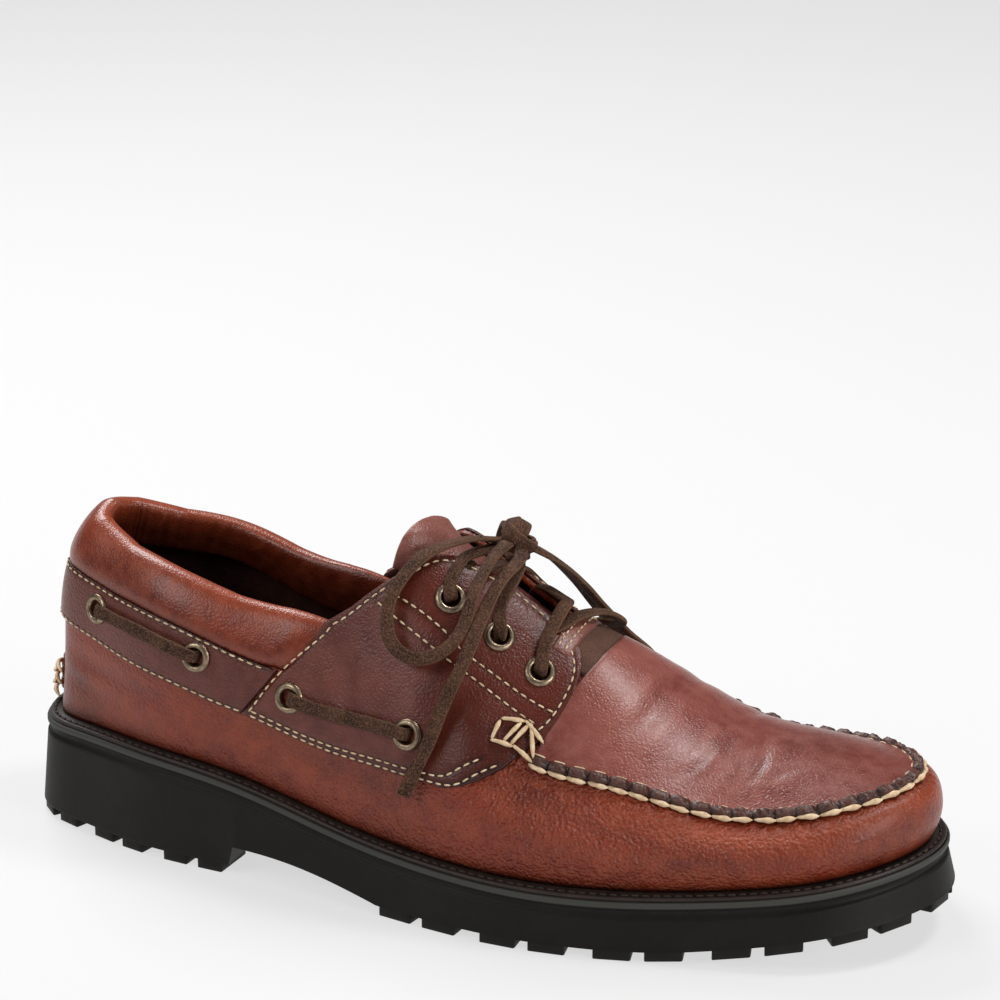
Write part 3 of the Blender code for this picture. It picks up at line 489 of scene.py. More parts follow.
END_LATERAL = [
    (15.2, -3.8, 107.2), (16.6, -8.0, 106.2), (14.8, -15.0, 103.0), (12.5, -23.5, 96.6),
    (11.1, -32.0, 88.1), (9.4, -37.8, 80.4), (6.3, -42.0, 71.8), (3.2, -45.6, 61.0), (-1.2, -48.5, 49.6),
    (-4.2, -50.8, 41.8),
]
END_MEDIAL = [
    (7.4, 6.2, 109.2), (4.6, 12.5, 108.8), (0.5, 20.0, 104.6), (-3.5, 27.0, 95.6), (-6.0, 32.0, 84.5),
    (-8.0, 35.6, 72.5), (-9.0, 38.0, 61.0), (-9.0, 39.8, 51.0), (-8.5, 41.4, 43.0),
]
LATERAL_TWIST = [30, 20, 10, 0, 0, 0, 0, 5, 10, 5, 0, -10, -20, -20, -10, 0]
END_TWIST = [-10, 0, 5, 5, 0, 0, 0, 5, 5, 0]
strands = []
for name, route, twist, far_end in (
    ("loop_lateral", LOOP_LATERAL, LATERAL_TWIST, "object"),
    ("loop_medial", LOOP_MEDIAL, 0.0, "object"),
    ("end_lateral", END_LATERAL, END_TWIST, "bare"),
    ("end_medial", END_MEDIAL, 0.0, "bare"),
):
    points, quads, edge, path = lace_strip(route, twist)
    piece = make_piece("bow_" + name, points, quads, [lace_finish], "rawhide", "lace_" + name, edge=edge)
    strands.append((piece, path, far_end))


def wrap(centre, axis, tall, deep, sweep):
    """One turn of the knot: lace wound flat about an axis through a centre, over a sweep in degrees.

    The sweep starts towards the camera, with tall and deep the millimetres from the axis up and outward.
    """
    axis = unit(np.array(axis, float))
    near = unit(np.array(camera_back) - axis * (axis @ np.array(camera_back)))
    high = np.cross(axis, near)
    turn = np.radians(np.linspace(*sweep, 14))[:, None]
    route = centre + near * np.cos(turn) * deep + high * np.sin(turn) * tall
    path, _ = smooth_path(route)
    return lace_strip(route, 0.0, KNOT_WIDTH, KNOT_THICKNESS, path - np.array(centre) / 1000)


low = np.array(KNOT) - (0.2, 0.0, 2.2)
knot_parts = [
    wrap(low, (0.90, 0.36, 0.24), 6.0, 4.6, (-150, 130)),
    wrap(low + (0.5, 0, 0.6), (0.55, 0.30, 0.78), 5.0, 5.2, (-95, 110)),
    wrap(low + (-0.4, 0, 0.9), (0.80, 0.30, -0.52), 4.6, 3.9, (-120, 150)),
    wrap(low - (0, 0, 1.2), (0.10, 0.15, 0.98), 4.6, 3.6, (-170, 150)),
]
points, quads, edge = joined([part[:3] for part in knot_parts])
knot = make_piece("bow_knot", points, quads, [lace_finish], "rawhide", "lace_knot", edge=edge)
tied_in = [knot]
for piece, path, far_end in strands:
    total = float(lengths(path)[-1])
    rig.cord(piece, path[0], total, LACE_WIDTH, far_end, "limp", "loose", path=path, with_pieces=tied_in)
    tied_in = []


# Outsole: one piece of moulded black rubber with a lipped rim over a recessed band, a wall that flares to
# the ground, pairs of square lugs round the edge and low bars across the tread. It is cemented to the welt.
SOLE_LENGTH = 0.300
BALL_WIDTH = 0.108
HEEL_HEIGHT = 0.0334
TOE_SPRING = 0.0117
WALL_FLARE = 0.0021
RIM_LIP = 0.0018
RIM_RECESS = 0.0012
RIM_BAND = 0.0026
RIM_STEP = 0.0006
LUG_DEPTH = 0.0032
LUG_REACH = 0.016
LUG_NOTCH = 0.0040
LUG_GAP = 0.0085
LUG_ROOT = 0.0012
LUG_ROUNDING = 0.10
LUG_SETBACK = 0.0003
FOREFOOT_PAIRS = 11
HEEL_PAIRS = 7
BAR_WIDTH = 0.008
BAR_PITCH = 0.0215
BAR_INSET = 0.020
HEEL_BREAST = 0.272
FOREFOOT_START = 0.450
OUTLINE = np.array([
    (0.022, -0.171), (0.085, -0.261), (0.180, -0.341), (0.320, -0.380), (0.460, -0.452),
    (0.600, -0.503), (0.700, -0.475), (0.800, -0.416), (0.900, -0.336), (0.970, -0.179),
    (1.000, 0.034), (0.975, 0.229), (0.910, 0.394), (0.820, 0.487), (0.720, 0.499), (0.600, 0.434),
    (0.460, 0.339), (0.320, 0.309), (0.180, 0.349), (0.085, 0.294), (0.022, 0.189)
])
SOLE_TOP = np.array([
    (0.00, 0.955), (0.12, 1.000), (0.25, 0.922), (0.40, 0.665), (0.55, 0.554), (0.70, 0.541),
    (0.85, 0.661), (1.00, 0.877)
])
TOE_LIFT = np.array([(0.70, 0.0), (0.76, 0.07), (0.82, 0.27), (0.92, 0.69), (1.00, 1.0)])
ARCH = np.array([(0.272, 0.0098), (0.33, 0.0091), (0.40, 0.0065), (0.45, 0.0035)])


def station(angle):
    """Share of the length from heel (0) to toe (1) at an angle round the shoe."""
    return (1 - np.cos(angle)) / 2


def angle_at(share):
    """Angle of a station on the lateral side; its negative is the medial side."""
    return np.arccos(1 - 2 * np.asarray(share, float))


def outline(angle, inset=0.0):
    """Plan points at an inset from the sole's edge; the angle is 0 at the heel and pi at the toe."""
    turn = np.arccos(1 - 2 * OUTLINE[:, 0])
    toe = int(np.argmax(OUTLINE[:, 0]))
    turn[toe + 1 :] = 2 * np.pi - turn[toe + 1 :]
    once = np.column_stack([turn, OUTLINE[:, 1]])
    whole = np.vstack([once[-4:] - [2 * np.pi, 0], once, once[:4] + [2 * np.pi, 0]])

    def plan(at):
        y = spline(np.mod(at, 2 * np.pi), whole)[..., 0] * BALL_WIDTH
        return np.stack([(station(at) - 0.5) * SOLE_LENGTH, y], axis=-1)

    along = unit(plan(angle + STEP) - plan(angle - STEP))
    inward = np.stack([-along[..., 1], along[..., 0]], axis=-1)
    return plan(angle) + inward * np.asarray(inset)[..., None]


def length_share(x):
    return x / SOLE_LENGTH + 0.5


def sole_top(share):
    return spline(share, SOLE_TOP)[..., 0] * HEEL_HEIGHT


def tread_height(share):
    return spline(share, TOE_LIFT)[..., 0] * TOE_SPRING


def under_sole(share):
    """Height of the sole's underside between its lugs, arched up at the waist."""
    tread = tread_height(share) + LUG_DEPTH
    between = (share > HEEL_BREAST + 0.002) & (share < FOREFOOT_START)
    return np.where(between, np.maximum(spline(share, ARCH)[..., 0], tread), tread)


def ring(angle, inset, height):
    """Points round the shoe at an inset from the sole's edge; the height is a function of the station."""
    plan = outline(angle, inset)
    return np.column_stack([plan, height(length_share(plan[:, 0]))])


def towards_middle(edge, share):
    """Ring moved straight across the shoe towards the line halfway between its two sides."""
    twin = np.roll(edge[::-1], 1, axis=0)
    moved = edge.copy()
    moved[:, :2] += ((edge + twin)[:, :2] / 2 - edge[:, :2]) * share
    return moved


def rounded_blocks(corners, rounding):
    """Points and quads of rounded six-sided blocks from their eight corners, low four first.

    Each block is a cube grid whose outer rows are pulled in by the rounding, a share of the half size.
    """
    steps = np.array([-1, -1 + rounding, -0.33, 0.33, 1 - rounding, 1])
    cells = np.stack(np.meshgrid(range(6), range(6), range(6), indexing="ij"), axis=-1).reshape(-1, 3)
    skin = ((cells == 0) | (cells == 5)).any(axis=1)
    number = np.full(6**3, -1)
    number[skin] = np.arange(skin.sum())
    place = steps[cells[skin]]
    core = np.clip(place, rounding - 1, 1 - rounding)
    place = core + unit(place - core) * rounding
    index = np.arange(6**3).reshape(6, 6, 6)
    quads = []
    for axis in range(3):
        for side in (0, 5):
            quads.append(number[np.take(index, side, axis=axis)].ravel()[grid_quads(6, 6)])
    quads = np.concatenate(quads)
    x, y, z = np.moveaxis((place + 1) / 2, -1, 0)[..., None]
    c = corners[:, None]

    def between(first, second, share):
        return first * (1 - share) + second * share

    low = between(between(c[..., 0, :], c[..., 1, :], x), between(c[..., 3, :], c[..., 2, :], x), y)
    high = between(between(c[..., 4, :], c[..., 5, :], x), between(c[..., 7, :], c[..., 6, :], x), y)
    points = between(low, high, z)
    shift = np.arange(len(corners)) * len(place)
    return points.reshape(-1, 3), (quads[None] + shift[:, None, None]).reshape(-1, 4)


def lug_spans(first, end, pairs):
    """Angles at the ends of each lug on a stretch of the edge: pairs with a notch in each, gaps between."""
    fine = np.linspace(first, end, 1500)
    travel = lengths(outline(fine, -WALL_FLARE))
    pitch = (travel[-1] + LUG_GAP) / pairs
    length = (pitch - LUG_GAP - LUG_NOTCH) / 2
    starts = (np.arange(pairs)[:, None] * pitch + [0, length + LUG_NOTCH]).ravel()
    return np.interp(np.column_stack([starts, starts + length]), travel, fine)


def lug_corners():
    """Eight corners of every lug round the edge and every bar across the tread."""
    forefoot = float(angle_at(FOREFOOT_START + 0.008))
    heel = float(angle_at(HEEL_BREAST - 0.008))
    front = lug_spans(forefoot, 2 * np.pi - forefoot, FOREFOOT_PAIRS)
    spans = np.concatenate([front, lug_spans(-heel, heel, HEEL_PAIRS)])
    outer = outline(spans, LUG_SETBACK - WALL_FLARE)
    inner = outline(spans, LUG_REACH - WALL_FLARE)
    lugs = np.stack([outer[:, 0], outer[:, 1], inner[:, 1], inner[:, 0]], axis=1)
    bars = []
    for first, end in ((0.075, HEEL_BREAST - 0.022), (FOREFOOT_START + 0.020, 0.90)):
        places = np.linspace(first, end, int((end - first) * SOLE_LENGTH / BAR_PITCH) + 1)
        x = (places - 0.5) * SOLE_LENGTH
        right = outline(angle_at(places))[:, 1] + BAR_INSET
        left = outline(-angle_at(places))[:, 1] - BAR_INSET
        rear, fore = x - BAR_WIDTH / 2, x + BAR_WIDTH / 2
        plan = [(rear, left), (fore, left), (fore, right), (rear, right)]
        bars.append(np.stack([np.column_stack(corner) for corner in plan], axis=1))
    plan = np.concatenate([lugs, *bars])
    foot = tread_height(length_share(plan[..., 0]))
    low = np.concatenate([plan, foot[..., None]], axis=-1)
    high = np.concatenate([plan, foot[..., None] + LUG_DEPTH + LUG_ROOT], axis=-1)
    return np.concatenate([low, high], axis=1)


def rubber():
    made = Nodes("black rubber")
    dust = made.ramp(made.noise(60, 5.0, 0.65), (0.45, 0.0), (0.75, 1.0))
    colour = made.mix(made.maths("MULTIPLY", dust, 0.5), (0.0045, 0.0036, 0.0024), (0.0125, 0.0105, 0.0072))
    # Painted highlight: grey where the rim's lip catches the light, with some wear.
    worn = made.mix(made.trait("worn"), colour, (0.050, 0.049, 0.043))
    return made.finish_with(worn, 0.55, made.noise(1400, 3.0, 0.6), 0.0002, 0.5, Specular_IOR_Level=0.22)


round_sole = np.linspace(0, 2 * np.pi, 560, endpoint=False)
band_top = RIM_LIP + RIM_STEP
band_foot = band_top + RIM_BAND
wall_foot = ring(round_sole, -WALL_FLARE, under_sole)
wall_head = ring(round_sole, 0.0, lambda share: sole_top(share) - band_foot - RIM_STEP)
levels = [towards_middle(wall_foot, share) for share in (1.0, 0.75, 0.5, 0.25, 0.02)]
levels += [wall_foot + (0, 0, 0.0001)]
levels += [wall_foot * (1 - t) + wall_head * t for t in (0.03, 0.2, 0.4, 0.6, 0.8, 0.96, 1.0)]
for inset, drop in (
    (0.0003, band_foot + 0.0001), (RIM_RECESS, band_foot - 0.0003), (RIM_RECESS, band_top + 0.0003),
    (0.0003, RIM_LIP + 0.0002), (0.0, RIM_LIP - 0.0002), (0.0, 0.0006), (0.0002, 0.0002), (0.0006, 0.0),
):
    levels.append(ring(round_sole, inset, lambda share: sole_top(share) - drop))
levels += [towards_middle(levels[-1], share) for share in (0.15, 0.5, 1.0)]
body = np.stack(levels)
# Painted highlight on the rim's lip, where its top catches the light, together with some wear.
worn = np.zeros(body.shape[:2])
worn[-8:-3] = np.array([0.3, 0.9, 0.9, 1.0, 0.6])[:, None]
lug_points, lug_quads = rounded_blocks(lug_corners(), LUG_ROUNDING)
points, quads, worn = joined([
    (body.reshape(-1, 3), grid_quads(*body.shape[:2], loop_columns=True), worn.ravel()),
    (lug_points, lug_quads, np.zeros(len(lug_points)))
])
make_piece("rubber_sole", points, quads, [rubber()], "rubber", "outsole", worn=worn)


# Welt: a strip of near-black leather between sole and upper, its edge dyed and its top sewn through with
# a dark waxed thread that shows as a row of short stitches.
WELT_THICKNESS = 0.0012
WELT_INSET = 0.0010
WELT_WIDTH = 0.0105
WELT_STITCH = 0.0026
WELT_PITCH = 0.0032


def threads(start, end, normal, radius, arch, plies=0.0, rings=7, around=6, taper=0.35):
    """Joined mesh of threads, one from each start to its end, arched out along its normal and twisted."""
    along = np.linspace(0, 1, rings)[None, :, None]
    centre = start[:, None] * (1 - along) + end[:, None] * along
    centre = centre + normal[:, None] * (arch * 4 * along * (1 - along))
    forward = unit(end - start)
    side = unit(np.cross(normal, forward))
    up = np.cross(forward, side)
    turn = np.linspace(0, 2 * np.pi, around, endpoint=False)[None, None, :, None]
    thick = radius * (1 - (2 * along - 1) ** 2) ** taper
    thick = thick[..., None] * (1 + plies * np.cos(2 * turn + 9 * along[..., None]))
    rim = side[:, None, None] * np.cos(turn) + up[:, None, None] * np.sin(turn)
    points = centre[:, :, None] + rim * thick
    quads = grid_quads(rings, around, loop_columns=True)
    shift = np.arange(len(start)) * rings * around
    return points.reshape(-1, 3), (quads[None] + shift[:, None, None]).reshape(-1, 4)


def thread_finish(name, colour, dark):
    made = Nodes(name)
    soil = made.ramp(made.noise(420, 3.0, 0.6), (0.35, 0.0), (0.72, 1.0))
    return made.finish_with(made.mix(soil, colour, dark), 0.62, made.noise(2600, 2.0), 0.0002, 0.6)


def leather(name, deep, body, light, roughness, grain_scale=900.0, coat=0.12, strength=0.55):
    """Waxed pull-up leather: three colours by soft patches, pebbled grain and traits that shade it.

    The trait shade darkens it, mostly as painted shade in creases, dents, recesses and under other pieces;
    grain sets how pebbled it is; the trait for wear and sheen lightens what is rubbed and paints sheen and
    highlights where the light falls; and warm turns it a deep waxed red.
    """
    made = Nodes(name)
    patch = made.ramp(made.noise(26, 4.0, 0.55), (0.30, 0.0), (0.70, 1.0))
    mottle = made.ramp(made.noise(170, 5.0, 0.65), (0.32, 0.0), (0.68, 1.0))
    colour = made.mix(patch, deep, body)
    colour = made.mix(made.maths("MULTIPLY", mottle, 0.55), colour, light)
    pores = made.ramp(made.noise(1300, 3.0, 0.7), (0.33, 1.0), (0.46, 0.0))
    colour = made.mix(made.maths("MULTIPLY", pores, 0.28), colour, deep)
    # Lighter where rubbed, and painted sheen and highlights.
    colour = made.mix(made.maths("MULTIPLY", made.trait("wear"), 0.85), colour, light)
    # Colour of the painted shade.
    dark = tuple(part * 0.16 for part in deep)
    colour = made.mix(made.trait("warm"), colour, (0.092, 0.0125, 0.0045))
    colour = made.mix(made.trait("shade"), colour, dark)
    cell = made.add("ShaderNodeTexVoronoi", {"feature": "SMOOTH_F1"}, Vector=made.place, Scale=grain_scale)
    pebble = made.ramp(cell.outputs["Distance"], (0.15, 1.0), (0.75, 0.0))
    pebbled = made.maths("ADD", made.maths("MULTIPLY", made.trait("grain"), 0.9), 0.12)
    pebble = made.maths("MULTIPLY", pebble, pebbled)
    fold = made.noise(340, 4.0, 0.6, (0.45, 1.0, 1.0))
    folded = made.maths("ADD", made.maths("MULTIPLY", made.trait("grain"), 0.5), 0.08)
    height = made.maths("ADD", pebble, made.maths("MULTIPLY", fold, folded))
    height = made.maths("ADD", height, made.maths("MULTIPLY", made.noise(2200, 2.0), 0.25))
    shine = made.ramp(mottle, (0.0, roughness[0]), (1.0, roughness[1]))
    return made.finish_with(colour, shine, height, 0.00075, strength, Coat_Weight=coat,
                            Coat_Roughness=0.3, Specular_IOR_Level=0.32)


def welt_low(share):
    return sole_top(share) + 0.0001


welt_path = []
for inset, lift in (
    (WELT_INSET + 0.0001, 0.0), (WELT_INSET, 0.0002), (WELT_INSET, WELT_THICKNESS - 0.0003),
    (WELT_INSET + 0.0003, WELT_THICKNESS), (WELT_INSET + 0.0012, WELT_THICKNESS),
    (WELT_INSET + 0.0018, WELT_THICKNESS - 0.0003), (WELT_INSET + 0.0024, WELT_THICKNESS),
    (WELT_INSET + 0.0050, WELT_THICKNESS), (WELT_INSET + WELT_WIDTH, WELT_THICKNESS),
    (WELT_INSET + WELT_WIDTH, 0.0),
):
    welt_path.append(ring(round_sole, inset, welt_low) + (0, 0, lift))
welt_grid = np.stack(welt_path)
welt_finish = leather(
    "dark welt leather", (0.010, 0.006, 0.005), (0.018, 0.010, 0.008), (0.045, 0.026, 0.018), (0.45, 0.6)
)
quads = grid_quads(*welt_grid.shape[:2], loop_rows=True, loop_columns=True)
make_piece("leather_welt", welt_grid.reshape(-1, 3), quads, [welt_finish], "welt_leather", "welt")

fine = np.linspace(0, 2 * np.pi, 4000)
welt_row = ring(fine, WELT_INSET + 0.0018, welt_low) + (0, 0, WELT_THICKNESS - 0.0001)
travel = lengths(welt_row)
starts = np.arange(0, travel[-1] - 0.003, WELT_PITCH)
start = np.column_stack([np.interp(starts, travel, column) for column in welt_row.T])
end = np.column_stack([np.interp(starts + WELT_STITCH, travel, column) for column in welt_row.T])
points, quads = threads(start, end, np.tile([0.0, 0.0, 1.0], (len(start), 1)), 0.00045, 0.0001)
welt_thread = thread_finish("dark waxed thread", (0.030, 0.019, 0.014), (0.012, 0.008, 0.006))
make_piece("welt_stitches", points, quads, [welt_thread], "welt_leather")


# Insole: a board under a plain sock of dark lining leather, darkened further as painted shade, that covers
# the whole foot bed. It lies on the sole inside the upper and is seen through the collar.
FEATHER_INSET = 0.0050
INSOLE_THICKNESS = 0.0030
INSOLE_INSET = 0.0032


def upper_floor(share):
    """Height of the feather line, where the upper stands on the welt."""
    return sole_top(share) + WELT_THICKNESS + 0.0006


around_insole = np.linspace(0, 2 * np.pi, 160, endpoint=False)
bed = []
for inset, lift in ((0.0, 0.0), (0.0, INSOLE_THICKNESS - 0.0008), (0.0008, INSOLE_THICKNESS)):
    bed.append(ring(around_insole, FEATHER_INSET + INSOLE_INSET + inset, upper_floor) + (0, 0, lift))
bed = [towards_middle(bed[0], 1.0), *bed, *[towards_middle(bed[-1], t) for t in (0.3, 0.65, 1.0)]]
bed = np.stack(bed)
# Lining: its own dark brown, darkened further as painted shade for the inside of the shoe.
shade_darkened_lining = leather(
    "dark lining leather", (0.014, 0.004, 0.0025), (0.030, 0.008, 0.005), (0.055, 0.016, 0.009), (0.5, 0.65)
)
quads = grid_quads(*bed.shape[:2], loop_columns=True)
make_piece("leather_sock", bed.reshape(-1, 3), quads, [shade_darkened_lining], "lining_leather", "insole")


# Upper: red-brown pull-up leather shaped on the last, a moccasin vamp that runs up under the panels. The
# creases are its own, set where a foot bends it, and it puckers where it is gathered at the toe.
INSTEP_HEIGHT = 0.122
UPPER_WALL = 0.0020
RIDGE = np.array([
    (0.12, 0.967, 0.009), (0.25, 0.992, -0.001), (0.38, 1.000, -0.001), (0.46, 0.930, 0.009),
    (0.50, 0.861, 0.009), (0.55, 0.775, 0.014), (0.60, 0.693, 0.019), (0.657, 0.625, 0.029),
    (0.69, 0.576, 0.034), (0.738, 0.504, 0.039), (0.777, 0.463, 0.039), (0.84, 0.441, 0.039)
])
SECTIONS = np.array([
    (0.00, 0.014, 0.074, 0.023, 0.180, 0.023, 0.344, 0.083, 0.508, 0.68),
    (0.10, -0.003, 0.074, 0.000, 0.180, 0.009, 0.336, 0.065, 0.492, 0.66),
    (0.20, -0.014, 0.066, -0.017, 0.164, -0.005, 0.311, 0.046, 0.459, 0.62),
    (0.35, -0.011, 0.066, -0.011, 0.156, 0.014, 0.279, 0.065, 0.410, 0.56),
    (0.50, -0.017, 0.066, -0.017, 0.164, 0.032, 0.311, 0.120, 0.475, 0.70),
    (0.60, -0.019, 0.057, -0.020, 0.139, 0.046, 0.230, 0.157, 0.328, 0.72),
    (0.70, -0.023, 0.057, -0.026, 0.123, 0.032, 0.201, 0.120, 0.258, 0.70),
    (0.80, -0.028, 0.049, -0.030, 0.102, 0.023, 0.150, 0.102, 0.172, 0.66),
    (0.90, -0.030, 0.045, -0.030, 0.098, 0.014, 0.143, 0.083, 0.156, 0.60),
    (1.00, -0.026, 0.041, -0.026, 0.102, 0.000, 0.160, 0.074, 0.160, 0.55)
])
COLLAR_SEAM = np.array([(0.00, 0.612), (0.04, 0.607), (0.11, 0.576), (0.19, 0.576),
                        (0.265, 0.579), (0.327, 0.594)])
SADDLE = np.array([
    (0.286, 0.312, 0.330), (0.306, 0.307, 0.460), (0.327, 0.302, 0.594), (0.370, 0.297, 0.745),
    (0.400, 0.297, 0.776), (0.455, 0.302, 0.850), (0.479, 0.306, 0.900), (0.500, 0.311, 0.928),
    (0.520, 0.318, 0.945), (0.540, 0.355, 0.955), (0.560, 0.420, 0.962), (0.584, 0.536, 0.962),
    (0.596, 0.620, 0.962), (0.610, 0.680, 0.958), (0.626, 0.742, 0.948), (0.637, 0.800, 0.930),
    (0.643, 0.845, 0.895)
])
THROAT_END = 0.630
TOE_SEAM = np.array([(0.585, 0.110), (0.62, 0.109), (0.70, 0.097), (0.80, 0.087),
                     (0.90, 0.071), (1.00, 0.050)])
TOE_SEAM_START = 0.608
LACE_EYELETS = ((0.503, 0.845), (0.556, 0.846), (0.602, 0.842))
SIDE_EYELETS = ((0.088, 0.486), (0.229, 0.484), (0.337, 0.490), (0.479, 0.469))
HOLE_CUT = 0.0034
PUCKER_PITCH = 0.0031
PUCKER_DEPTH = 0.00125
PUCKER_REACH = 0.0075
SECTION_HEIGHT = 0.075


def ridge(share):
    """Point and slope of the last's ridge."""
    here = spline(share, RIDGE)
    rise = spline(share + STEP, RIDGE)[..., 0] - spline(share - STEP, RIDGE)[..., 0]
    x = (share - 0.5) * SOLE_LENGTH
    point = np.stack([x, here[..., 1] * BALL_WIDTH, here[..., 0] * INSTEP_HEIGHT], axis=-1)
    return point, rise * INSTEP_HEIGHT / (2 * STEP * SOLE_LENGTH)


def controls(angle):
    """Seven control points of the section at each angle, from feather line to ridge."""
    share = station(angle)
    foot = outline(angle, FEATHER_INSET)
    floor_height = upper_floor(length_share(foot[..., 0]))
    crown, slope = ridge(0.485 - 0.5 * np.cos(angle) + 0.15 * np.cos(angle) ** 3)
    reach = crown[..., :2] - foot
    inward = unit(reach)
    row = spline(share, SECTIONS)
    points = []
    for column in (None, 0, 2, 4, 6):
        inset, rise = (0 * share, 0 * share) if column is None else (row[..., column], row[..., column + 1])
        plan = foot + inward * (inset * BALL_WIDTH)[..., None]
        height = floor_height + rise * INSTEP_HEIGHT
        points.append(np.concatenate([plan, height[..., None]], axis=-1))
    plan = foot + reach * row[..., 8:9]
    height = crown[..., 2] + slope * (plan[..., 0] - crown[..., 0])
    points.append(np.concatenate([plan, height[..., None]], axis=-1))
    points.append(crown)
    return np.stack(points, axis=-2)


def basis(share):
    """Weights of seven control points of a clamped cubic B-spline."""
    knots = (0, 0, 0, 0, 1, 2, 3, 4, 4, 4, 4)
    at = np.clip(np.asarray(share, float), 0, 1 - 1e-9) * 4
    weights = [np.where((at >= a) & (at < b), 1.0, 0.0) for a, b in zip(knots, knots[1:])]
    for degree in (1, 2, 3):
        for i in range(len(knots) - degree - 1):
            left = knots[i + degree] - knots[i]
            right = knots[i + degree + 1] - knots[i + 1]
            rising = (at - knots[i]) / left * weights[i] if left else 0
            falling = (knots[i + degree + 1] - at) / right * weights[i + 1] if right else 0
            weights[i] = rising + falling
    return np.stack(weights[:7], axis=-1)


def last(angle, share, out=0.0):
    """Points on the upper's outer face, moved out of it by a distance: angle, share of the section."""
    angle, share, out = np.broadcast_arrays(angle, share, out)

    def surface(at, up):
        return np.einsum("...k,...kd->...d", basis(up), controls(at))

    low, high = np.clip(share - STEP, 0, 1), np.clip(share + STEP, 0, 1)
    around = surface(angle + STEP, share) - surface(angle - STEP, share)
    normal = unit(np.cross(around, surface(angle, high) - surface(angle, low)))
    return surface(angle, share) + normal * out[..., None]


def normal_at(angle, share):
    return unit(last(angle, share, STEP) - last(angle, share))


def opening_share(share):
    """Edge of the upper at the collar and throat."""
    facing_top = np.interp(share, SADDLE[:, 0], SADDLE[:, 2])
    return np.where(share < COLLAR_SEAM[-1, 0], np.interp(share, *COLLAR_SEAM.T), facing_top)


def seam_table():
    """Angle, share of the section and distance travelled along the toe seam."""
    start = angle_at(TOE_SEAM_START)
    fine = np.linspace(start, 2 * np.pi - start, 600)
    steps = np.linspace(0.3, 0.95, 131)
    face = last(fine[:, None], steps[None, :])
    foot = last(fine, 0.0)
    way = unit((last(fine, 1.0) - foot)[:, :2])
    reach = np.einsum("ijk,ik->ij", face[..., :2] - foot[:, None, :2], way)
    wanted = spline(station(fine), TOE_SEAM)[..., 0] * BALL_WIDTH
    line = np.array([np.interp(want, row, steps) for want, row in zip(wanted, reach)])
    return fine, line, lengths(last(fine, line))


seam_angle, seam_share, seam_travel = seam_table()

# Creases of the upper: depth and width in millimetres, side (1 lateral, -1 medial), then the stations and
# shares that each one passes. Most lie where a foot bends the shoe, and the leather swells beside each.
CREASES = [
    (0.45, 3.4, 1, [(0.700, 0.80), (0.722, 0.88), (0.735, 1.00)]),
    (0.40, 2.6, 1, [(0.760, 0.76), (0.790, 0.83), (0.815, 0.93), (0.825, 1.00)]),
    (0.30, 1.8, 1, [(0.835, 0.80), (0.860, 0.87), (0.885, 0.97)]),
    (0.28, 1.6, 1, [(0.870, 0.84), (0.910, 0.88), (0.950, 0.90)]),
    (0.35, 3.0, -1, [(0.715, 0.78), (0.735, 0.88), (0.742, 1.00)]),
    (0.30, 2.4, -1, [(0.790, 0.78), (0.815, 0.88), (0.825, 1.00)]),
    (0.90, 6.0, 1, [(0.500, 0.64), (0.512, 0.52), (0.508, 0.40), (0.520, 0.32)]),
    (0.70, 5.0, -1, [(0.500, 0.66), (0.510, 0.52), (0.505, 0.38)]),
    (0.55, 4.5, 1, [(0.300, 0.26), (0.400, 0.22), (0.500, 0.24)]),
    (0.45, 3.5, 1, [(0.030, 0.26), (0.110, 0.20), (0.200, 0.21)]),
    (0.35, 3.0, 1, [(0.020, 0.16), (0.080, 0.12), (0.150, 0.12)]),
    (0.45, 3.5, -1, [(0.060, 0.24), (0.150, 0.20), (0.300, 0.24)]),
    (0.50, 4.0, 1, [(0.560, 0.40), (0.600, 0.46), (0.640, 0.44)]),
    (0.35, 3.0, 1, [(0.660, 0.42), (0.700, 0.36), (0.760, 0.34)]),
    (0.45, 4.0, -1, [(0.570, 0.42), (0.620, 0.50), (0.680, 0.46)]),
    (0.55, 4.0, 1, [(0.380, 0.72), (0.400, 0.62), (0.395, 0.52)]),
    (0.40, 3.0, 1, [(0.235, 0.57), (0.262, 0.45), (0.262, 0.34)]),
]


def along_route(route, count):
    """Stations and shares at even steps of a smooth curve through a route of them."""
    route = np.array(route, float)
    place = np.arange(len(route))
    if len(route) == 2:
        return [np.interp(np.linspace(0, 1, count), place, column) for column in route.T]
    return spline(np.linspace(0, len(route) - 1, count), np.column_stack([place, route])).T


def crease_line(side, route):
    """Points along one crease on the last."""
    along, up = along_route(route, CREASE_POINTS)
    return last(side * angle_at(along), up)


CREASE_POINTS = 32
CREASE_LINES = [(depth, width, crease_line(side, route)) for depth, width, side, route in CREASES]


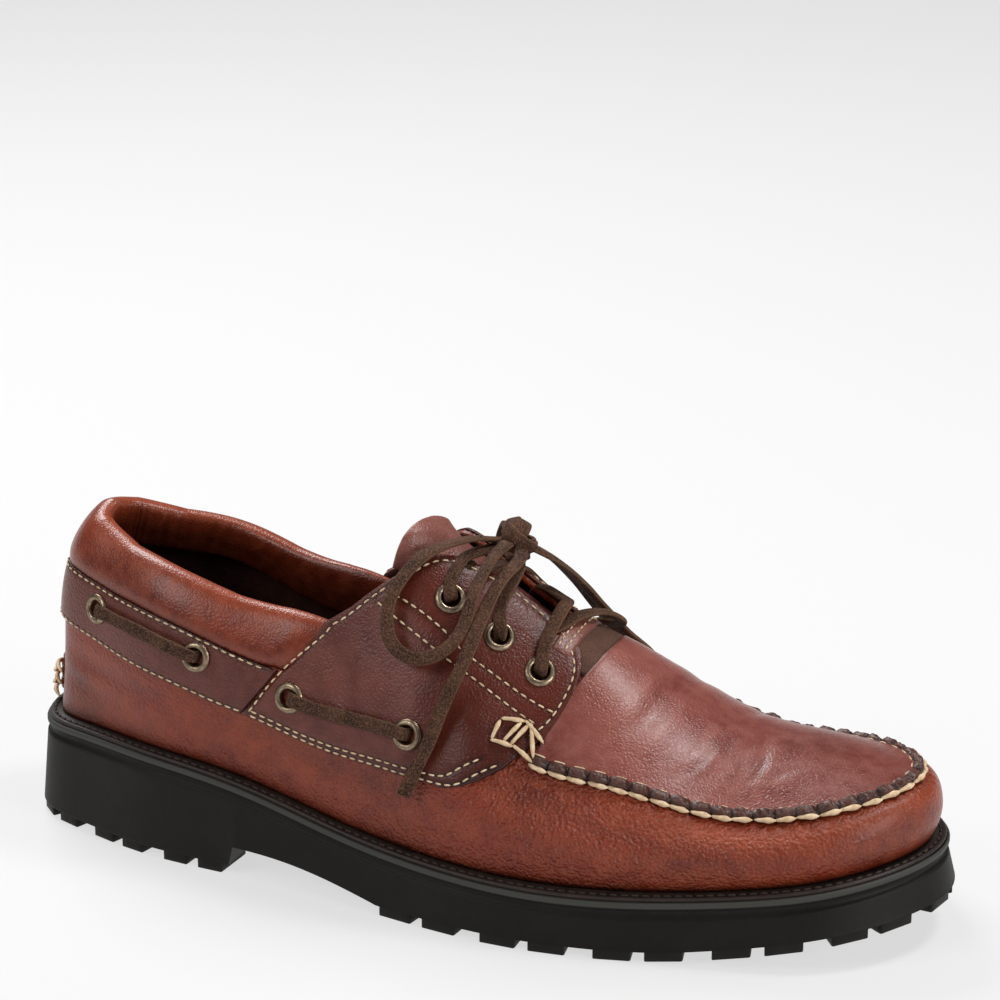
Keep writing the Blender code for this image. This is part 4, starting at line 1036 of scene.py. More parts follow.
def relief(angle, share):
    """Height of the creases, the puckers and a slight unevenness over the last's face."""
    angle, share = np.broadcast_arrays(angle, share)
    place = last(angle, share)
    height = np.zeros(angle.shape)
    for depth, width, line in CREASE_LINES:
        low, high = line.min(axis=0) - 3 * width / 1000, line.max(axis=0) + 3 * width / 1000
        near = ((place > low) & (place < high)).all(axis=-1)
        gap = np.linalg.norm(place[near][:, None] - line[None], axis=-1) * 1000 / width
        nearest = gap.argmin(axis=1)
        gap = gap.min(axis=1)
        fade = np.sin(np.pi * (nearest + 0.5) / CREASE_POINTS) ** 0.6
        shape = 0.45 * np.exp(-((gap - 1.7) ** 2)) - np.exp(-(gap**2))
        height[near] += depth / 1000 * fade * shape
    turn = np.mod(angle, 2 * np.pi)
    line = np.interp(turn, seam_angle, seam_share)
    travel = np.interp(turn, seam_angle, seam_travel)
    below = (line - share) * SECTION_HEIGHT
    strength = np.interp(turn, np.radians([104, 120, 138, 222, 240, 256]), [0, 0.6, 1.0, 1.0, 0.6, 0])
    strength = strength * np.exp(-np.clip(below, 0, None) / PUCKER_REACH) * (below > -0.001)
    phase = travel * 2 * np.pi / PUCKER_PITCH + 1.2 * np.sin(travel * 310) + below * 60 * np.sin(travel * 95)
    pucker = np.abs(np.sin(phase / 2)) ** 0.6 * (0.7 + 0.3 * np.sin(travel * 530 + 2))
    height -= PUCKER_DEPTH * strength * (1 - pucker)
    x, y, z = np.moveaxis(place, -1, 0)
    wave = np.sin(61 * x + 40 * z + 1) + 0.7 * np.sin(103 * x - 70 * y + 3) + 0.6 * np.sin(150 * z + 37 * x)
    return height + 0.00009 * wave


def face(angle, share, out=0.0):
    """Point at a distance out of the upper's face, creases included."""
    return last(angle, share, out + relief(angle, share))


def eyelet_centres():
    """Angle and share of all fourteen eyelets: the lateral ones first, lace eyelets before side ones."""
    for side in (1, -1):
        for along, up in (*LACE_EYELETS, *SIDE_EYELETS):
            yield side * float(angle_at(along)), up


def clear_of_holes(points, lowest=0.0):
    """Which cells of a grid lie clear of the holes of the eyelets above a share of the section."""
    middle = (points[:-1, :-1] + points[1:, 1:] + points[1:, :-1] + points[:-1, 1:]) / 4
    keep = np.ones(middle.shape[:2], bool)
    for angle, up in eyelet_centres():
        if up > lowest:
            keep &= np.linalg.norm(middle - last(angle, up), axis=-1) > HOLE_CUT
    return keep


def walled(rows, columns, keep=None, loop=False, sealed=False, folded=False):
    """Quads of the closed shell between an outer and an inner grid, without the cells that aren't kept.

    A loop joins the last row to the first, and sealed rows have no wall at their last column. A folded
    grid's last row lies on itself, half on half, with no wall.
    """
    if keep is None:
        keep = np.ones((rows - 1, columns - 1), bool)
    near = np.arange(rows * columns).reshape(rows, columns)
    if loop:
        near = np.vstack([near, near[:1]])
    far = near + rows * columns
    quads = []
    for number, turn in ((near, 1), (far, -1)):
        cell = np.stack([number[:-1, :-1], number[1:, :-1], number[1:, 1:], number[:-1, 1:]], axis=-1)
        quads.append(cell[keep][:, ::turn])
    side = np.pad(keep, ((0, 0), (1, 1)))
    step = side[:, 1:] != side[:, :-1]
    step[:, -1] &= ~np.asarray(sealed)
    quads.append(np.stack([near[:-1][step], near[1:][step], far[1:][step], far[:-1][step]], axis=-1))
    ends = np.vstack([keep[-1:], keep, keep[:1]]) if loop else np.pad(keep, ((1, 1), (0, 0)))
    step = ends[1:] != ends[:-1]
    if loop or folded:
        step[-1] = False
    wall = [near[:, :-1][step], near[:, 1:][step], far[:, 1:][step], far[:, :-1][step]]
    quads.append(np.stack(wall, axis=-1))
    return np.concatenate(quads)


def two_faces(outer, inner):
    return np.concatenate([outer.reshape(-1, 3), inner.reshape(-1, 3)])


def on_faces(shape, outside, inside=0.0):
    """A trait at each point of an outer and an inner grid of a shape."""
    return np.stack([np.broadcast_to(outside, shape), np.full(shape, inside)]).ravel()


def upper_rows():
    """Angles round the shoe, closer at the toe, and the shares of the upper's rows at each."""
    half = np.linspace(0, np.pi, 215)
    angles = np.concatenate([half, 2 * np.pi - half[-2:0:-1]])
    share = station(angles)
    top = np.where(share > THROAT_END, 1.0, opening_share(share))
    seam = np.interp(np.mod(angles, 2 * np.pi), seam_angle, seam_share)
    front = fade_in(share, 0.52, TOE_SEAM_START - 0.52)
    line = 0.62 * top * (1 - front) + seam * front
    low = line[:, None] * np.linspace(0, 1, 40)
    high = line[:, None] + (top - line)[:, None] * np.linspace(0, 1, 34)[1:]
    return angles, np.hstack([low, high])


angles, rise = upper_rows()
outer = face(angles[:, None], rise)
inner = last(angles[:, None], rise, -UPPER_WALL)
inner[:, 0, 2] = upper_floor(length_share(inner[:, 0, 0]))
closed = station(angles) > THROAT_END
for grid in (outer, inner):
    twin = np.roll(grid[::-1, -1], 1, axis=0)
    grid[closed, -1] = ((grid[:, -1] + twin) / 2)[closed]
rows, columns = rise.shape
keep = clear_of_holes(np.vstack([outer, outer[:1]]), 0.6)
quads = walled(rows, columns, keep, loop=True, sealed=closed & np.roll(closed, -1))
# Darker towards the welt: painted shadow together with burnish.
near_floor = np.exp(-rise / 0.035)
grain = np.interp(station(angles), [0.0, 0.35, 0.5, 0.62, 0.8, 0.95], [0.1, 0.3, 0.7, 1.0, 0.9, 0.3])
grain = grain[:, None] * np.interp(rise, [0, 0.1, 0.5, 1], [0.5, 1.0, 1.0, 0.5])
# Painted shade in the creases.
crease_shade = np.clip(-relief(angles[:, None], rise) / 0.0006, 0, 1)
shade = np.clip(0.75 * near_floor + 0.25 * crease_shade, 0, 0.9)
# Lighter in streaks round the shoe, and a painted highlight band across the front of the vamp.
wear = np.clip(0.5 * np.sin(angles[:, None] * 9 + rise * 14) + 0.15, 0, 1) * 0.3
wear = wear + 0.5 * bump(rise, 0.44, 0.14) * fade_in(station(angles), 0.55, 0.25)[:, None]
vamp_finish = leather(
    "red-brown vamp leather", (0.085, 0.0085, 0.0022), (0.205, 0.0220, 0.0058), (0.320, 0.058, 0.018),
    (0.27, 0.42), 1050.0, 0.15, 1.0
)
inside = on_faces(outer.shape[:2], 0.0, 1.0)
make_piece(
    "moccasin_upper", two_faces(outer, inner), quads, [vamp_finish, shade_darkened_lining], "vamp_leather", "upper",
    (inside[quads].min(axis=1) > 0.5).astype(np.int32), shade=on_faces(shade.shape, shade),
    grain=on_faces(grain.shape, grain), wear=on_faces(wear.shape, wear)
)


# Plug: the smooth purple-brown apron over the toes, a separate leather whose sides are sewn into the toe
# seam and whose rear edge is cut clean and lies on the strip at the tongue's foot.
PANEL_LIFT = 0.0003
PANEL_THICKNESS = 0.0012
CUT_ROUNDING = 0.0010
STITCH_DENT = 0.00022
DENT_WIDTH = 0.0008
DARK_EDGE = 0.0006
EASING_ROUNDS = 14


def edge_gap(grid, sides=(True, True, True, True)):
    """Distance of each point of a grid from those of its sides that are true: rows first, last, columns."""
    border = [grid[0], grid[-1], grid[:, 0], grid[:, -1]]
    border = np.concatenate([line for line, used in zip(border, sides) if used])
    gap = np.empty(grid.shape[:2])
    for i, row in enumerate(grid):
        gap[i] = np.linalg.norm(row[:, None] - border[None], axis=-1).min(axis=1)
    return gap


def route_gap(grid, routes, side):
    """Distance of each point of a grid from stitched routes of stations and shares."""
    gap = np.full(grid.shape[:2], 1.0)
    for route in routes:
        along, up = along_route(route, 160)
        line = last(side * angle_at(along), up)
        for i, row in enumerate(grid):
            gap[i] = np.minimum(gap[i], np.linalg.norm(row[:, None] - line[None], axis=-1).min(axis=1))
    return gap


def rounding(gap, radius):
    """How much of its full thickness leather has at a distance from an edge rounded to a radius."""
    return np.sqrt(1 - (1 - np.clip(gap / radius, 0, 1)) ** 2)


def panel(name, angle, share, finish, stands_for=None, slot="panel_leather", routes=(), side=1,
          thickness=PANEL_THICKNESS, lift=PANEL_LIFT, holes=True, sides=(True, True, True, True), shade=0.0,
          wear=0.0, grain=0.25, warm=0.0, ease=0.0, folded=False):
    """Leather panel on the upper: rounded where it is cut and dented along its stitches, with painted shade in
    the dents and on its underside, and darker near its cut edges, partly painted shadow.

    Its columns are drawn towards their neighbours by ease, so that it lies smooth over the last's ridge.
    """
    angle, share = np.broadcast_arrays(angle, share)
    plain = last(angle, share)
    gap = edge_gap(plain, sides)
    curl = rounding(gap, CUT_ROUNDING)
    dent = bump(route_gap(plain, routes, side), 0, DENT_WIDTH)
    outer = face(angle, share, lift + thickness * (0.40 + 0.60 * curl) - STITCH_DENT * dent)
    for _ in range(EASING_ROUNDS):
        between = (outer[:, :-2] + outer[:, 2:]) / 2
        outer[:, 1:-1] += 0.5 * ease * (between - outer[:, 1:-1])
    inner = face(angle, share, lift)
    if folded:
        outer[-1] = (outer[-1] + outer[-1, ::-1]) / 2
        inner[-1] = (inner[-1] + inner[-1, ::-1]) / 2
    cells = walled(*angle.shape, clear_of_holes(plain) if holes else None, folded=folded)
    # Painted shade in the stitch dents and on the underside (0.8 inside); darker near the cut edges, partly the edge's
    # own colour and partly painted shadow.
    dark = np.clip(shade + 0.45 * np.exp(-gap / DARK_EDGE) + 0.5 * dent, 0, 0.95)
    make_piece(name, two_faces(outer, inner), cells, [finish], slot, stands_for,
               shade=on_faces(angle.shape, dark, 0.8), wear=on_faces(angle.shape, wear),
               grain=on_faces(angle.shape, grain), warm=on_faces(angle.shape, warm))


def over_ridge(place, across):
    """Angle of a station, on the lateral side where across is negative."""
    return np.where(across < 0, 1, -1) * angle_at(place)


def instep_strip(name, rear, front, drop, finish, **looks):
    """Narrow panel that lies over the instep between two stations and drops at both sides."""
    across = np.linspace(-1, 1, 40)
    place = np.linspace(rear, front, 12)[:, None] - 0.012 * np.abs(across)
    panel(name, over_ridge(place, across), 1 - drop * np.abs(across), finish, holes=False, **looks)


plug_finish = leather(
    "purple-brown plug leather", (0.120, 0.019, 0.0125), (0.190, 0.036, 0.0245), (0.310, 0.105, 0.080),
    (0.27, 0.38), 1500.0, 0.25, 0.45
)
PLUG_REAR = np.array([(-1.0, 0.6085), (-0.55, 0.630), (-0.22, 0.655), (0.0, 0.667), (0.22, 0.655),
                      (0.55, 0.630), (1.0, 0.6085)])
across = np.concatenate([[-1, -0.99], np.linspace(-0.97, 0.97, 72), [0.99, 1]])
rear = np.interp(across, *PLUG_REAR.T)
way = np.sin(np.linspace(0, 1, 100) * np.pi / 2)[:, None]
way = np.vstack([way[:1], way[1:2] * 0.3, way[1:]])
place = rear + (1 - rear) * way
turn = over_ridge(place, across)
line = np.interp(np.mod(turn, 2 * np.pi), seam_angle, seam_share)
up = line + 0.004 + (1 - line - 0.004) * (1 - np.abs(across))
# Painted sheen over the plug's rear and painted highlights on the swells beside its creases; painted shade makes it
# darker towards the toe.
sheen = 0.55 * bump(place, 0.69, 0.045) * bump(np.abs(across), 0.55, 0.4)
raised = np.clip(relief(turn, up) / 0.0003, 0, 1) * 0.5
panel("plug", turn, up, plug_finish, slot="vamp_leather", holes=False, sides=(True, False, False, False),
      shade=fade_in(place, 0.80, 0.2) * 0.22, wear=np.clip(sheen + raised, 0, 1), grain=0.30,
      ease=bump(across[1:-1, None], 0, 0.10), folded=True)


# Strip at the tongue's foot: a narrow piece of brown suede over the instep, cut clean and tucked under the
# plug's rear edge. The tongue's sewn end lies over its other edge.
suede = leather(
    "brown suede strip", (0.055, 0.022, 0.013), (0.090, 0.038, 0.024), (0.150, 0.072, 0.048),
    (0.75, 0.9), 2400.0, 0.0
)
instep_strip("suede_strip", 0.634, 0.668, 0.115, suede, thickness=0.0009, grain=1.0)


# Back band and side panels: thinner purple-brown leather over the upper. The band goes round the heel,
# and each side panel runs into the facing of the lace eyelets. Cream thread sews their edges down.
BACK_BAND = np.array([(0.00, 0.390), (0.035, 0.378), (0.12, 0.328), (0.19, 0.316), (0.25, 0.305),
                      (0.30, 0.312)])
BAND_TOP = [(0.000, 0.598), (0.040, 0.592), (0.111, 0.562), (0.186, 0.562), (0.250, 0.564), (0.306, 0.572)]
BAND_LOW = [(0.000, 0.402), (0.035, 0.391), (0.12, 0.340), (0.191, 0.328), (0.25, 0.317), (0.284, 0.324)]
SADDLE_ROWS = [
    [(0.290, 0.326), (0.302, 0.420), (0.330, 0.612), (0.367, 0.712), (0.380, 0.742)],
    [(0.380, 0.742), (0.401, 0.765), (0.428, 0.802), (0.455, 0.835)],
    [(0.292, 0.322), (0.381, 0.308), (0.440, 0.312), (0.517, 0.330), (0.550, 0.412), (0.578, 0.535)],
    [(0.292, 0.347), (0.381, 0.333), (0.440, 0.337), (0.508, 0.352), (0.536, 0.420), (0.560, 0.520)],
    [(0.444, 0.806), (0.457, 0.802), (0.510, 0.779), (0.535, 0.769), (0.626, 0.784)],
    [(0.428, 0.790), (0.454, 0.767), (0.496, 0.739), (0.535, 0.732), (0.608, 0.737)],
    [(0.455, 0.835), (0.479, 0.884), (0.496, 0.908), (0.517, 0.926), (0.560, 0.944), (0.598, 0.944),
     (0.619, 0.934)],
    [(0.619, 0.934), (0.632, 0.902), (0.636, 0.862), (0.629, 0.802), (0.617, 0.745), (0.601, 0.690)],
]
STITCH_PITCH = 0.0031
STITCH_LENGTH = 0.0023
STITCH_OUT = PANEL_LIFT + PANEL_THICKNESS - 0.00012
SIDES = (("lateral", 1), ("medial", -1))
panel_finish = leather(
    "purple-brown panel leather", (0.070, 0.0130, 0.0080), (0.124, 0.0250, 0.0165), (0.205, 0.058, 0.040),
    (0.30, 0.44), 1500.0, 0.12, 0.5
)
cream = thread_finish("cream thread", (0.76, 0.58, 0.38), (0.50, 0.32, 0.17))


def even(count):
    """Shares from 0 to 1, close together at both ends."""
    rim = np.array([0.0, 0.006, 0.014, 0.026])
    return np.concatenate([rim, np.linspace(0.042, 0.958, count), 1 - rim[::-1]])


def stitch_row(route, side, out=STITCH_OUT, pitch=STITCH_PITCH, length=STITCH_LENGTH):
    """Start, end and normal of each stitch along a route of stations and shares, out of the face."""
    along, up = along_route(route, 260)
    turn = side * angle_at(along)
    line = face(turn, up, out)
    normal = normal_at(turn, up)
    travel = lengths(line)
    count = max(1, int((travel[-1] - length) / pitch + 1e-6) + 1)
    first = (travel[-1] - length - (count - 1) * pitch) / 2 + np.arange(count) * pitch

    def at(values, where):
        return np.column_stack([np.interp(where, travel, column) for column in values.T])

    return at(line, first), at(line, first + length), unit(at(normal, first + length / 2))


def stitching(name, rows, slot, radius=0.00031, arch=0.00018, plies=0.0, **shape):
    """One piece of all the cream threads of several rows."""
    start, end, normal = [np.concatenate(column) for column in zip(*rows)]
    points, quads = threads(start, end, normal, radius, arch, plies, **shape)
    make_piece(name, points, quads, [cream], slot)


def both_sides(routes, *sizes):
    """Rows of stitches along each route on both sides of the shoe."""
    return [stitch_row(route, side, *sizes) for route in routes for side in (1, -1)]


rise = even(46)
ends = angle_at(np.interp(rise, [0, 1], [SADDLE[0, 0] - 0.004, COLLAR_SEAM[-1, 0] - 0.007]))
sweep = np.concatenate([[-1, -0.996, -0.99], np.linspace(-0.98, 0.98, 210), [0.99, 0.996, 1]])[:, None]
turn = sweep * ends
share = station(turn)
low = spline(share, BACK_BAND)[..., 0]
high = opening_share(share) - 0.004
fade = 0.10 + 0.10 * np.sin(turn * 7)
# Painted highlight down the middle of the heel, over a slight even lightening of the whole band.
band_heel_highlight = 0.30 * bump(share, 0, 0.05) + 0.10
panel("heel_band", turn, low + (high - low) * rise, panel_finish, "back_band", shade=fade, wear=band_heel_highlight,
      routes=(BAND_TOP, BAND_LOW), grain=0.3)
stitching("band_stitches", both_sides((BAND_TOP, BAND_LOW)), "panel_leather")

stretch = np.concatenate([
    [0.286, 0.2864, 0.287], np.linspace(0.286, 0.327, 18)[1:], np.linspace(0.3285, 0.5, 96)[:-1],
    np.linspace(0.5, 0.643, 84)[:-1], [0.6424, 0.6428, 0.643]
])[:, None]
low, high = (np.interp(stretch, SADDLE[:, 0], SADDLE[:, column]) for column in (1, 2))
share = low + (high - low) * even(84)
facing_edge = np.interp(stretch, [0.43, 0.457, 0.510, 0.535, 0.64], [0.80, 0.785, 0.760, 0.750, 0.757])
warm = fade_in(share, facing_edge, 0.008) * fade_in(stretch, 0.432, 0.006)
warm = np.maximum(warm, fade_in(stretch, 0.478, 0.035)) * 0.92
front_dark = fade_in(stretch, 0.50, 0.05) * np.clip((0.72 - share) / 0.1, 0, 1) * 0.35
# Painted shade along each panel's lower edge, with a darker front below the facing and a slight even darkening.
fade = 0.04 + front_dark + 0.10 * bump(share, low, 0.05)
# Lighter at mid-height towards the rear of each panel.
panel_rear_lightening = 0.22 * bump(share, 0.52, 0.12) * np.clip((0.5 - stretch) * 8, 0, 1)
for side_name, side in SIDES:
    panel("side_panel_" + side_name, side * angle_at(stretch), share, panel_finish, "saddle_" + side_name,
          routes=SADDLE_ROWS, side=side, shade=fade, wear=panel_rear_lightening, warm=warm)
stitching("panel_stitches", both_sides(SADDLE_ROWS), "panel_leather")


# Toe seam: vamp and plug are pinched up together in small dark pillows and whipped by hand with a thick
# twisted cream thread along the outside, and a thin light one closes the inside.
SEAM_HEIGHT = 0.0031
SEAM_HALF = 0.0018
PILLOW_LENGTH = 0.0064


def share_scale(turn, up):
    """Metres across the toe seam to one share of the section."""
    return np.linalg.norm(last(turn, up + 0.02) - last(turn, up), axis=-1) / 0.02


def with_ends(values):
    """Values of a tube's rings, with those of its first and last ring once more for its closed ends."""
    return np.concatenate([values[:1], values, values[-1:]])


def capped(grid):
    """Rings of a tube with a point in the middle of both its ends."""
    core = grid.mean(axis=1, keepdims=True)
    return np.concatenate([core[:1] + 0 * grid[:1], grid, core[-1:] + 0 * grid[-1:]])


pillows = round(seam_travel[-1] / PILLOW_LENGTH)
seam_pitch = seam_travel[-1] / pillows
fine = np.linspace(0, seam_travel[-1], pillows * 16 + 1)
turn = np.interp(fine, seam_travel, seam_angle)
up = np.interp(fine, seam_travel, seam_share)
swell = np.abs(np.sin(np.pi * fine / seam_pitch)) ** 0.4
uneven = 1 + 0.07 * np.sin(fine * 700) + 0.05 * np.sin(fine * 1900 + 1)
ends = np.clip(np.minimum(fine, seam_travel[-1] - fine) / 0.004, 0, 1) ** 0.5
profile = np.array([
    (-1.0, 0.0), (-1.02, 0.25), (-1.0, 0.55), (-0.85, 0.82), (-0.55, 0.97), (0.0, 1.0),
    (0.45, 0.95), (0.8, 0.78), (0.97, 0.5), (1.0, 0.25), (1.0, 0.0)
])
half = SEAM_HALF * (0.72 + 0.28 * swell) / share_scale(turn, up)
height = SEAM_HEIGHT * (0.40 + 0.60 * swell) * uneven * ends
cross = up[:, None] + profile[:, 0] * half[:, None]
body = capped(face(turn[:, None] + 0 * cross, cross, 0.0002 + profile[:, 1] * height[:, None]))
# Painted shade in the grooves between the pillows.
groove_shade = with_ends(np.clip(1 - swell, 0, 1) ** 0.7 * 0.95)[:, None] + 0 * body[..., 0]
seam_finish = leather(
    "dark seam leather", (0.042, 0.013, 0.009), (0.075, 0.023, 0.016), (0.150, 0.060, 0.042), (0.32, 0.46)
)
quads = grid_quads(*body.shape[:2], loop_columns=True)
make_piece("pinched_seam", body.reshape(-1, 3), quads, [seam_finish], "seam_leather", "toe_seam",
           shade=groove_shade, grain=0 * groove_shade + 0.5)


def along_seam(travel, aside, out):
    """Points at distances along the toe seam, moved aside across it and out of the face."""
    at = np.interp(travel, seam_travel, seam_angle)
    line = np.interp(travel, seam_travel, seam_share)
    return face(at, line + aside / share_scale(at, line), out), normal_at(at, line)


middles = (np.arange(pillows) + 0.5) * seam_pitch
jitter = 0.0003 * np.sin(np.arange(pillows) * 2.4)
reach = 0.53 * seam_pitch
start, normal = along_seam(middles - reach + jitter, -0.0019, 0.0009)
end, _ = along_seam(middles + reach + jitter, -0.0026, 0.0012)
tilt = unit(normal + unit(along_seam(middles, -0.004, 0.0)[0] - along_seam(middles, 0.0, 0.0)[0]))
stitching("seam_whipping", [(start, end, tilt)], "seam_leather", radius=0.00086, arch=0.0005, plies=0.2,
          rings=19, around=10, taper=0.75)
start, normal = along_seam(middles - 0.40 * seam_pitch, 0.0019, 0.0010)
end, _ = along_seam(middles + 0.42 * seam_pitch, 0.0019, 0.0012)
stitching("seam_inner_thread", [(start, end, normal)], "seam_leather", radius=0.00034, arch=0.0003)

# Corner stitches: the whipping ends in a few cross stitches of the same thick thread, sewn by hand over the
# side panel's front corner. Each row is the station and share of a stitch's two ends.
CORNER = np.array([
    [(0.5665, 0.612), (0.5720, 0.688)], [(0.5715, 0.690), (0.5980, 0.728)],
    [(0.5780, 0.628), (0.5940, 0.722)], [(0.5860, 0.634), (0.6030, 0.732)],
    [(0.5650, 0.608), (0.5900, 0.636)], [(0.5880, 0.640), (0.6130, 0.618)],
    [(0.5960, 0.730), (0.6210, 0.698)], [(0.6030, 0.735), (0.6130, 0.632)]
])
for side_name, side in SIDES:
    ends = face(side * angle_at(CORNER[..., 0]), CORNER[..., 1], STITCH_OUT + 0.0005)
    start, end = ends[:, 0], ends[:, 1]
    normal = normal_at(side * angle_at(CORNER[:, 0, 0]), 0.63)
    stitching("corner_stitches_" + side_name, [(start, end, normal)], "seam_leather", radius=0.00068,
              arch=0.0009, plies=0.14, rings=13, around=10)


# Heel seam: the vamp's two ends meet under the band and are turned up in a raised edge of leather, laced
# down by hand with the same thick thread.
across = np.linspace(-1, 1, 17)
up = np.linspace(0.02, 0.36, 44)[:, None]
turn, up = np.broadcast_arrays(0.058 * across, up)
tall = np.interp(up, [0.02, 0.10, 0.20, 0.36], [0.85, 1.0, 0.55, 0.08])
ridged = 1 + 0.10 * np.sin(up * 190) * bump(across, 0, 0.5)
outer = face(turn, up, 0.0006 + 0.0040 * (1 - across**2) ** 0.7 * tall * ridged)
inner = last(turn, up, 0.0001)
quads = walled(*turn.shape)
rough = np.ones(2 * turn.size)
make_piece("heel_ridge", two_faces(outer, inner), quads, [vamp_finish], "vamp_leather", "heel_seam",
           grain=rough, shade=rough * 0.25, wear=rough * 0.3)
sides = np.array([1, -1, 1, -1, 1])
heights = np.linspace(0.004, 0.094, 5)
start = face(0.050 + 0.055 * sides, heights, 0.0016)
end = face(0.050 - 0.052 * sides, heights + 0.026, 0.0040)
stitching("heel_lacing", [(start, end, normal_at(0 * heights, heights))], "vamp_leather", radius=0.00080,
          arch=0.0022, plies=0.14, rings=15, around=10)


# Collar: a soft roll of the same leather, padded with foam, turned in over the upper's edge from one side
# panel round the heel to the other. It wrinkles on the inside of the heel, where it is bent.
COLLAR_END = 0.360
COLLAR_SECTION = np.array([
    (-0.02, 0.0009), (0.22, 0.0022), (0.60, 0.0020), (0.92, 0.0004), (1.04, -0.0026), (0.98, -0.0056),
    (0.62, -0.0074), (0.20, -0.0074), (0.05, -0.0040), (-0.02, 0.0009)
])
sweep = np.linspace(-1, 1, 260)[:, None]
spot = np.arange(60)
section = spline(np.linspace(0, 9, 61)[:-1], np.column_stack([np.arange(10), COLLAR_SECTION]))
rise, out = section[:, 0], section[:, 1]
end_angle = angle_at(np.interp(rise, [0, 1], [COLLAR_SEAM[-1, 0] + 0.012, COLLAR_END + 0.034]))
turn = sweep * end_angle
tuck = fade_in(np.abs(sweep), 0.925, 0.075) ** 1.5
seam = np.interp(station(turn), *COLLAR_SEAM.T)
tall = 0.151 + 0.045 * (1 - np.abs(sweep)) ** 2
side_on = fade_in(spot, 27, 6) * np.clip((56 - spot) / 6, 0, 1)
wrinkle = np.sin(sweep * 150 + 1.5 * np.sin(sweep * 23) + 0.03 * spot) * (0.6 + 0.4 * np.sin(sweep * 41 + 2))
puff = 0.00032 * wrinkle * side_on * bump(sweep, 0, 0.55)
puff = puff + 0.00012 * np.sin(sweep * 19 + 0.12 * spot)
out = out * (1 - 0.45 * tuck) - 0.0026 * tuck
roll = capped(last(turn, seam + rise * tall * (1 - 0.10 * tuck), out + np.where(spot > 30, -puff, puff)))
# Painted highlight along the top of the roll (crown); painted shade inside the roll and in the troughs of its
# wrinkles; darker where it meets the upper (foot); the scars are real scuffs.
crown = bump(spot, 26, 7.0) + 0 * turn
inside_shade = fade_in(spot, 31, 9) + 0 * turn
foot = bump(np.minimum(spot, 60 - spot), 0, 2.2) * 0.6 + 0 * turn
scar = np.zeros(turn.shape)
for place, phase in ((-0.42, 0.4), (-0.16, 2.0), (0.02, 1.0), (-0.72, 0.2)):
    line = place + 0.012 * np.sin(spot * 0.5 + phase)
    scar += bump(sweep, line, 0.004) * (np.abs(spot - 34) < 5)
wear = np.clip(0.55 * crown + 0.8 * scar, 0, 1)
shade = np.clip(foot + 0.68 * inside_shade + 0.12 * np.clip(-wrinkle, 0, 1) * side_on, 0, 0.9)
collar_finish = leather(
    "orange-brown collar leather", (0.075, 0.0085, 0.0030), (0.146, 0.0175, 0.0058), (0.320, 0.060, 0.019),
    (0.26, 0.38), 1500.0, 0.25, 0.4
)
quads = grid_quads(*roll.shape[:2], loop_columns=True)
piece = make_piece("collar_roll", roll.reshape(-1, 3), quads, [collar_finish], "vamp_leather", "collar",
                   shade=with_ends(shade), wear=with_ends(wear), grain=np.full(roll.shape[:2], 0.25))
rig.padded(piece, fill=0.6)


# Tongue: one soft piece of smooth leather under the lacing, sewn down in front with two rows of stitches
# and rounded at its top, which stands clear of the throat.
TONGUE_FRONT = 0.655
TONGUE_TOP = np.array([(-1.0, 0.436), (-0.5, 0.449), (0.0, 0.466), (0.5, 0.472), (1.0, 0.482)])
TONGUE_HALF = np.array([(0.445, 0.150), (0.475, 0.158), (0.50, 0.165), (0.56, 0.145), (0.655, 0.130)])
TONGUE_THICKNESS = 0.0022
TONGUE_ROUNDING = 0.0011
TONGUE_FOOT = 0.618


def tongue_grid(along, across):
    """Angle, share of the section and distance out of the last's face over the tongue."""
    top = spline(across, TONGUE_TOP)[..., 0]
    place = TONGUE_FRONT + (top - TONGUE_FRONT) * along
    depth = 1 - np.abs(across) * np.interp(place, *TONGUE_HALF.T)
    free = fade_in(depth - opening_share(place), 0.015, 0.05)
    lift = np.interp(place, [0.455, 0.49, 0.52], [1.0, 0.35, 0.0]) * free * 0.0046 * (0.35 + np.abs(across))
    return over_ridge(place, across), depth, lift - UPPER_WALL - 0.0018


along = np.concatenate([np.linspace(0, 0.985, 110), [0.992, 0.997, 1.0]])[:, None]
across = np.concatenate([[-1, -0.99], np.linspace(-0.97, 0.97, 61), [0.99, 1]])[None, :]
turn, depth, out = tongue_grid(along, across)
thin = 0.0008 * (1 - rounding(edge_gap(last(turn, depth)), TONGUE_ROUNDING))
soft = 0.0003 * np.sin(9 * along + 2 * across) + 0.0002 * np.sin(21 * along - 3 * across)
outer = last(turn, depth, out - thin + soft)
inner = last(turn, depth, out - TONGUE_THICKNESS + thin + soft)
quads = walled(*turn.shape)
tongue_finish = leather(
    "pinkish brown tongue leather", (0.130, 0.034, 0.024), (0.195, 0.060, 0.044), (0.290, 0.115, 0.090),
    (0.30, 0.42), 1600.0, 0.15, 0.4
)
# Painted shade towards the tongue's sewn end, under the lacing, and on its underside; lighter towards its top as
# painted sheen.
low_tongue_shade = np.clip(1 - along * 1.25, 0, 1) ** 0.6 * 0.45
make_piece("soft_tongue", two_faces(outer, inner), quads, [tongue_finish], "panel_leather", "tongue",
           shade=on_faces(turn.shape, low_tongue_shade, 0.5), wear=on_faces(turn.shape, 0.25 * along),
           grain=on_faces(turn.shape, 0.3))
instep_strip("tongue_foot", TONGUE_FOOT, 0.640, 0.105, tongue_finish, lift=0.0010, thickness=0.0008,
             grain=0.3)
foot_rows = []
for offset in (0.0045, 0.0125):
    front = TONGUE_FOOT + offset
    foot_rows.append([(front - 0.010, 0.905), (front - 0.004, 0.955), (front, 0.998)])
stitching("tongue_stitches", both_sides(foot_rows, 0.0019, 0.0026, 0.0019), "panel_leather")


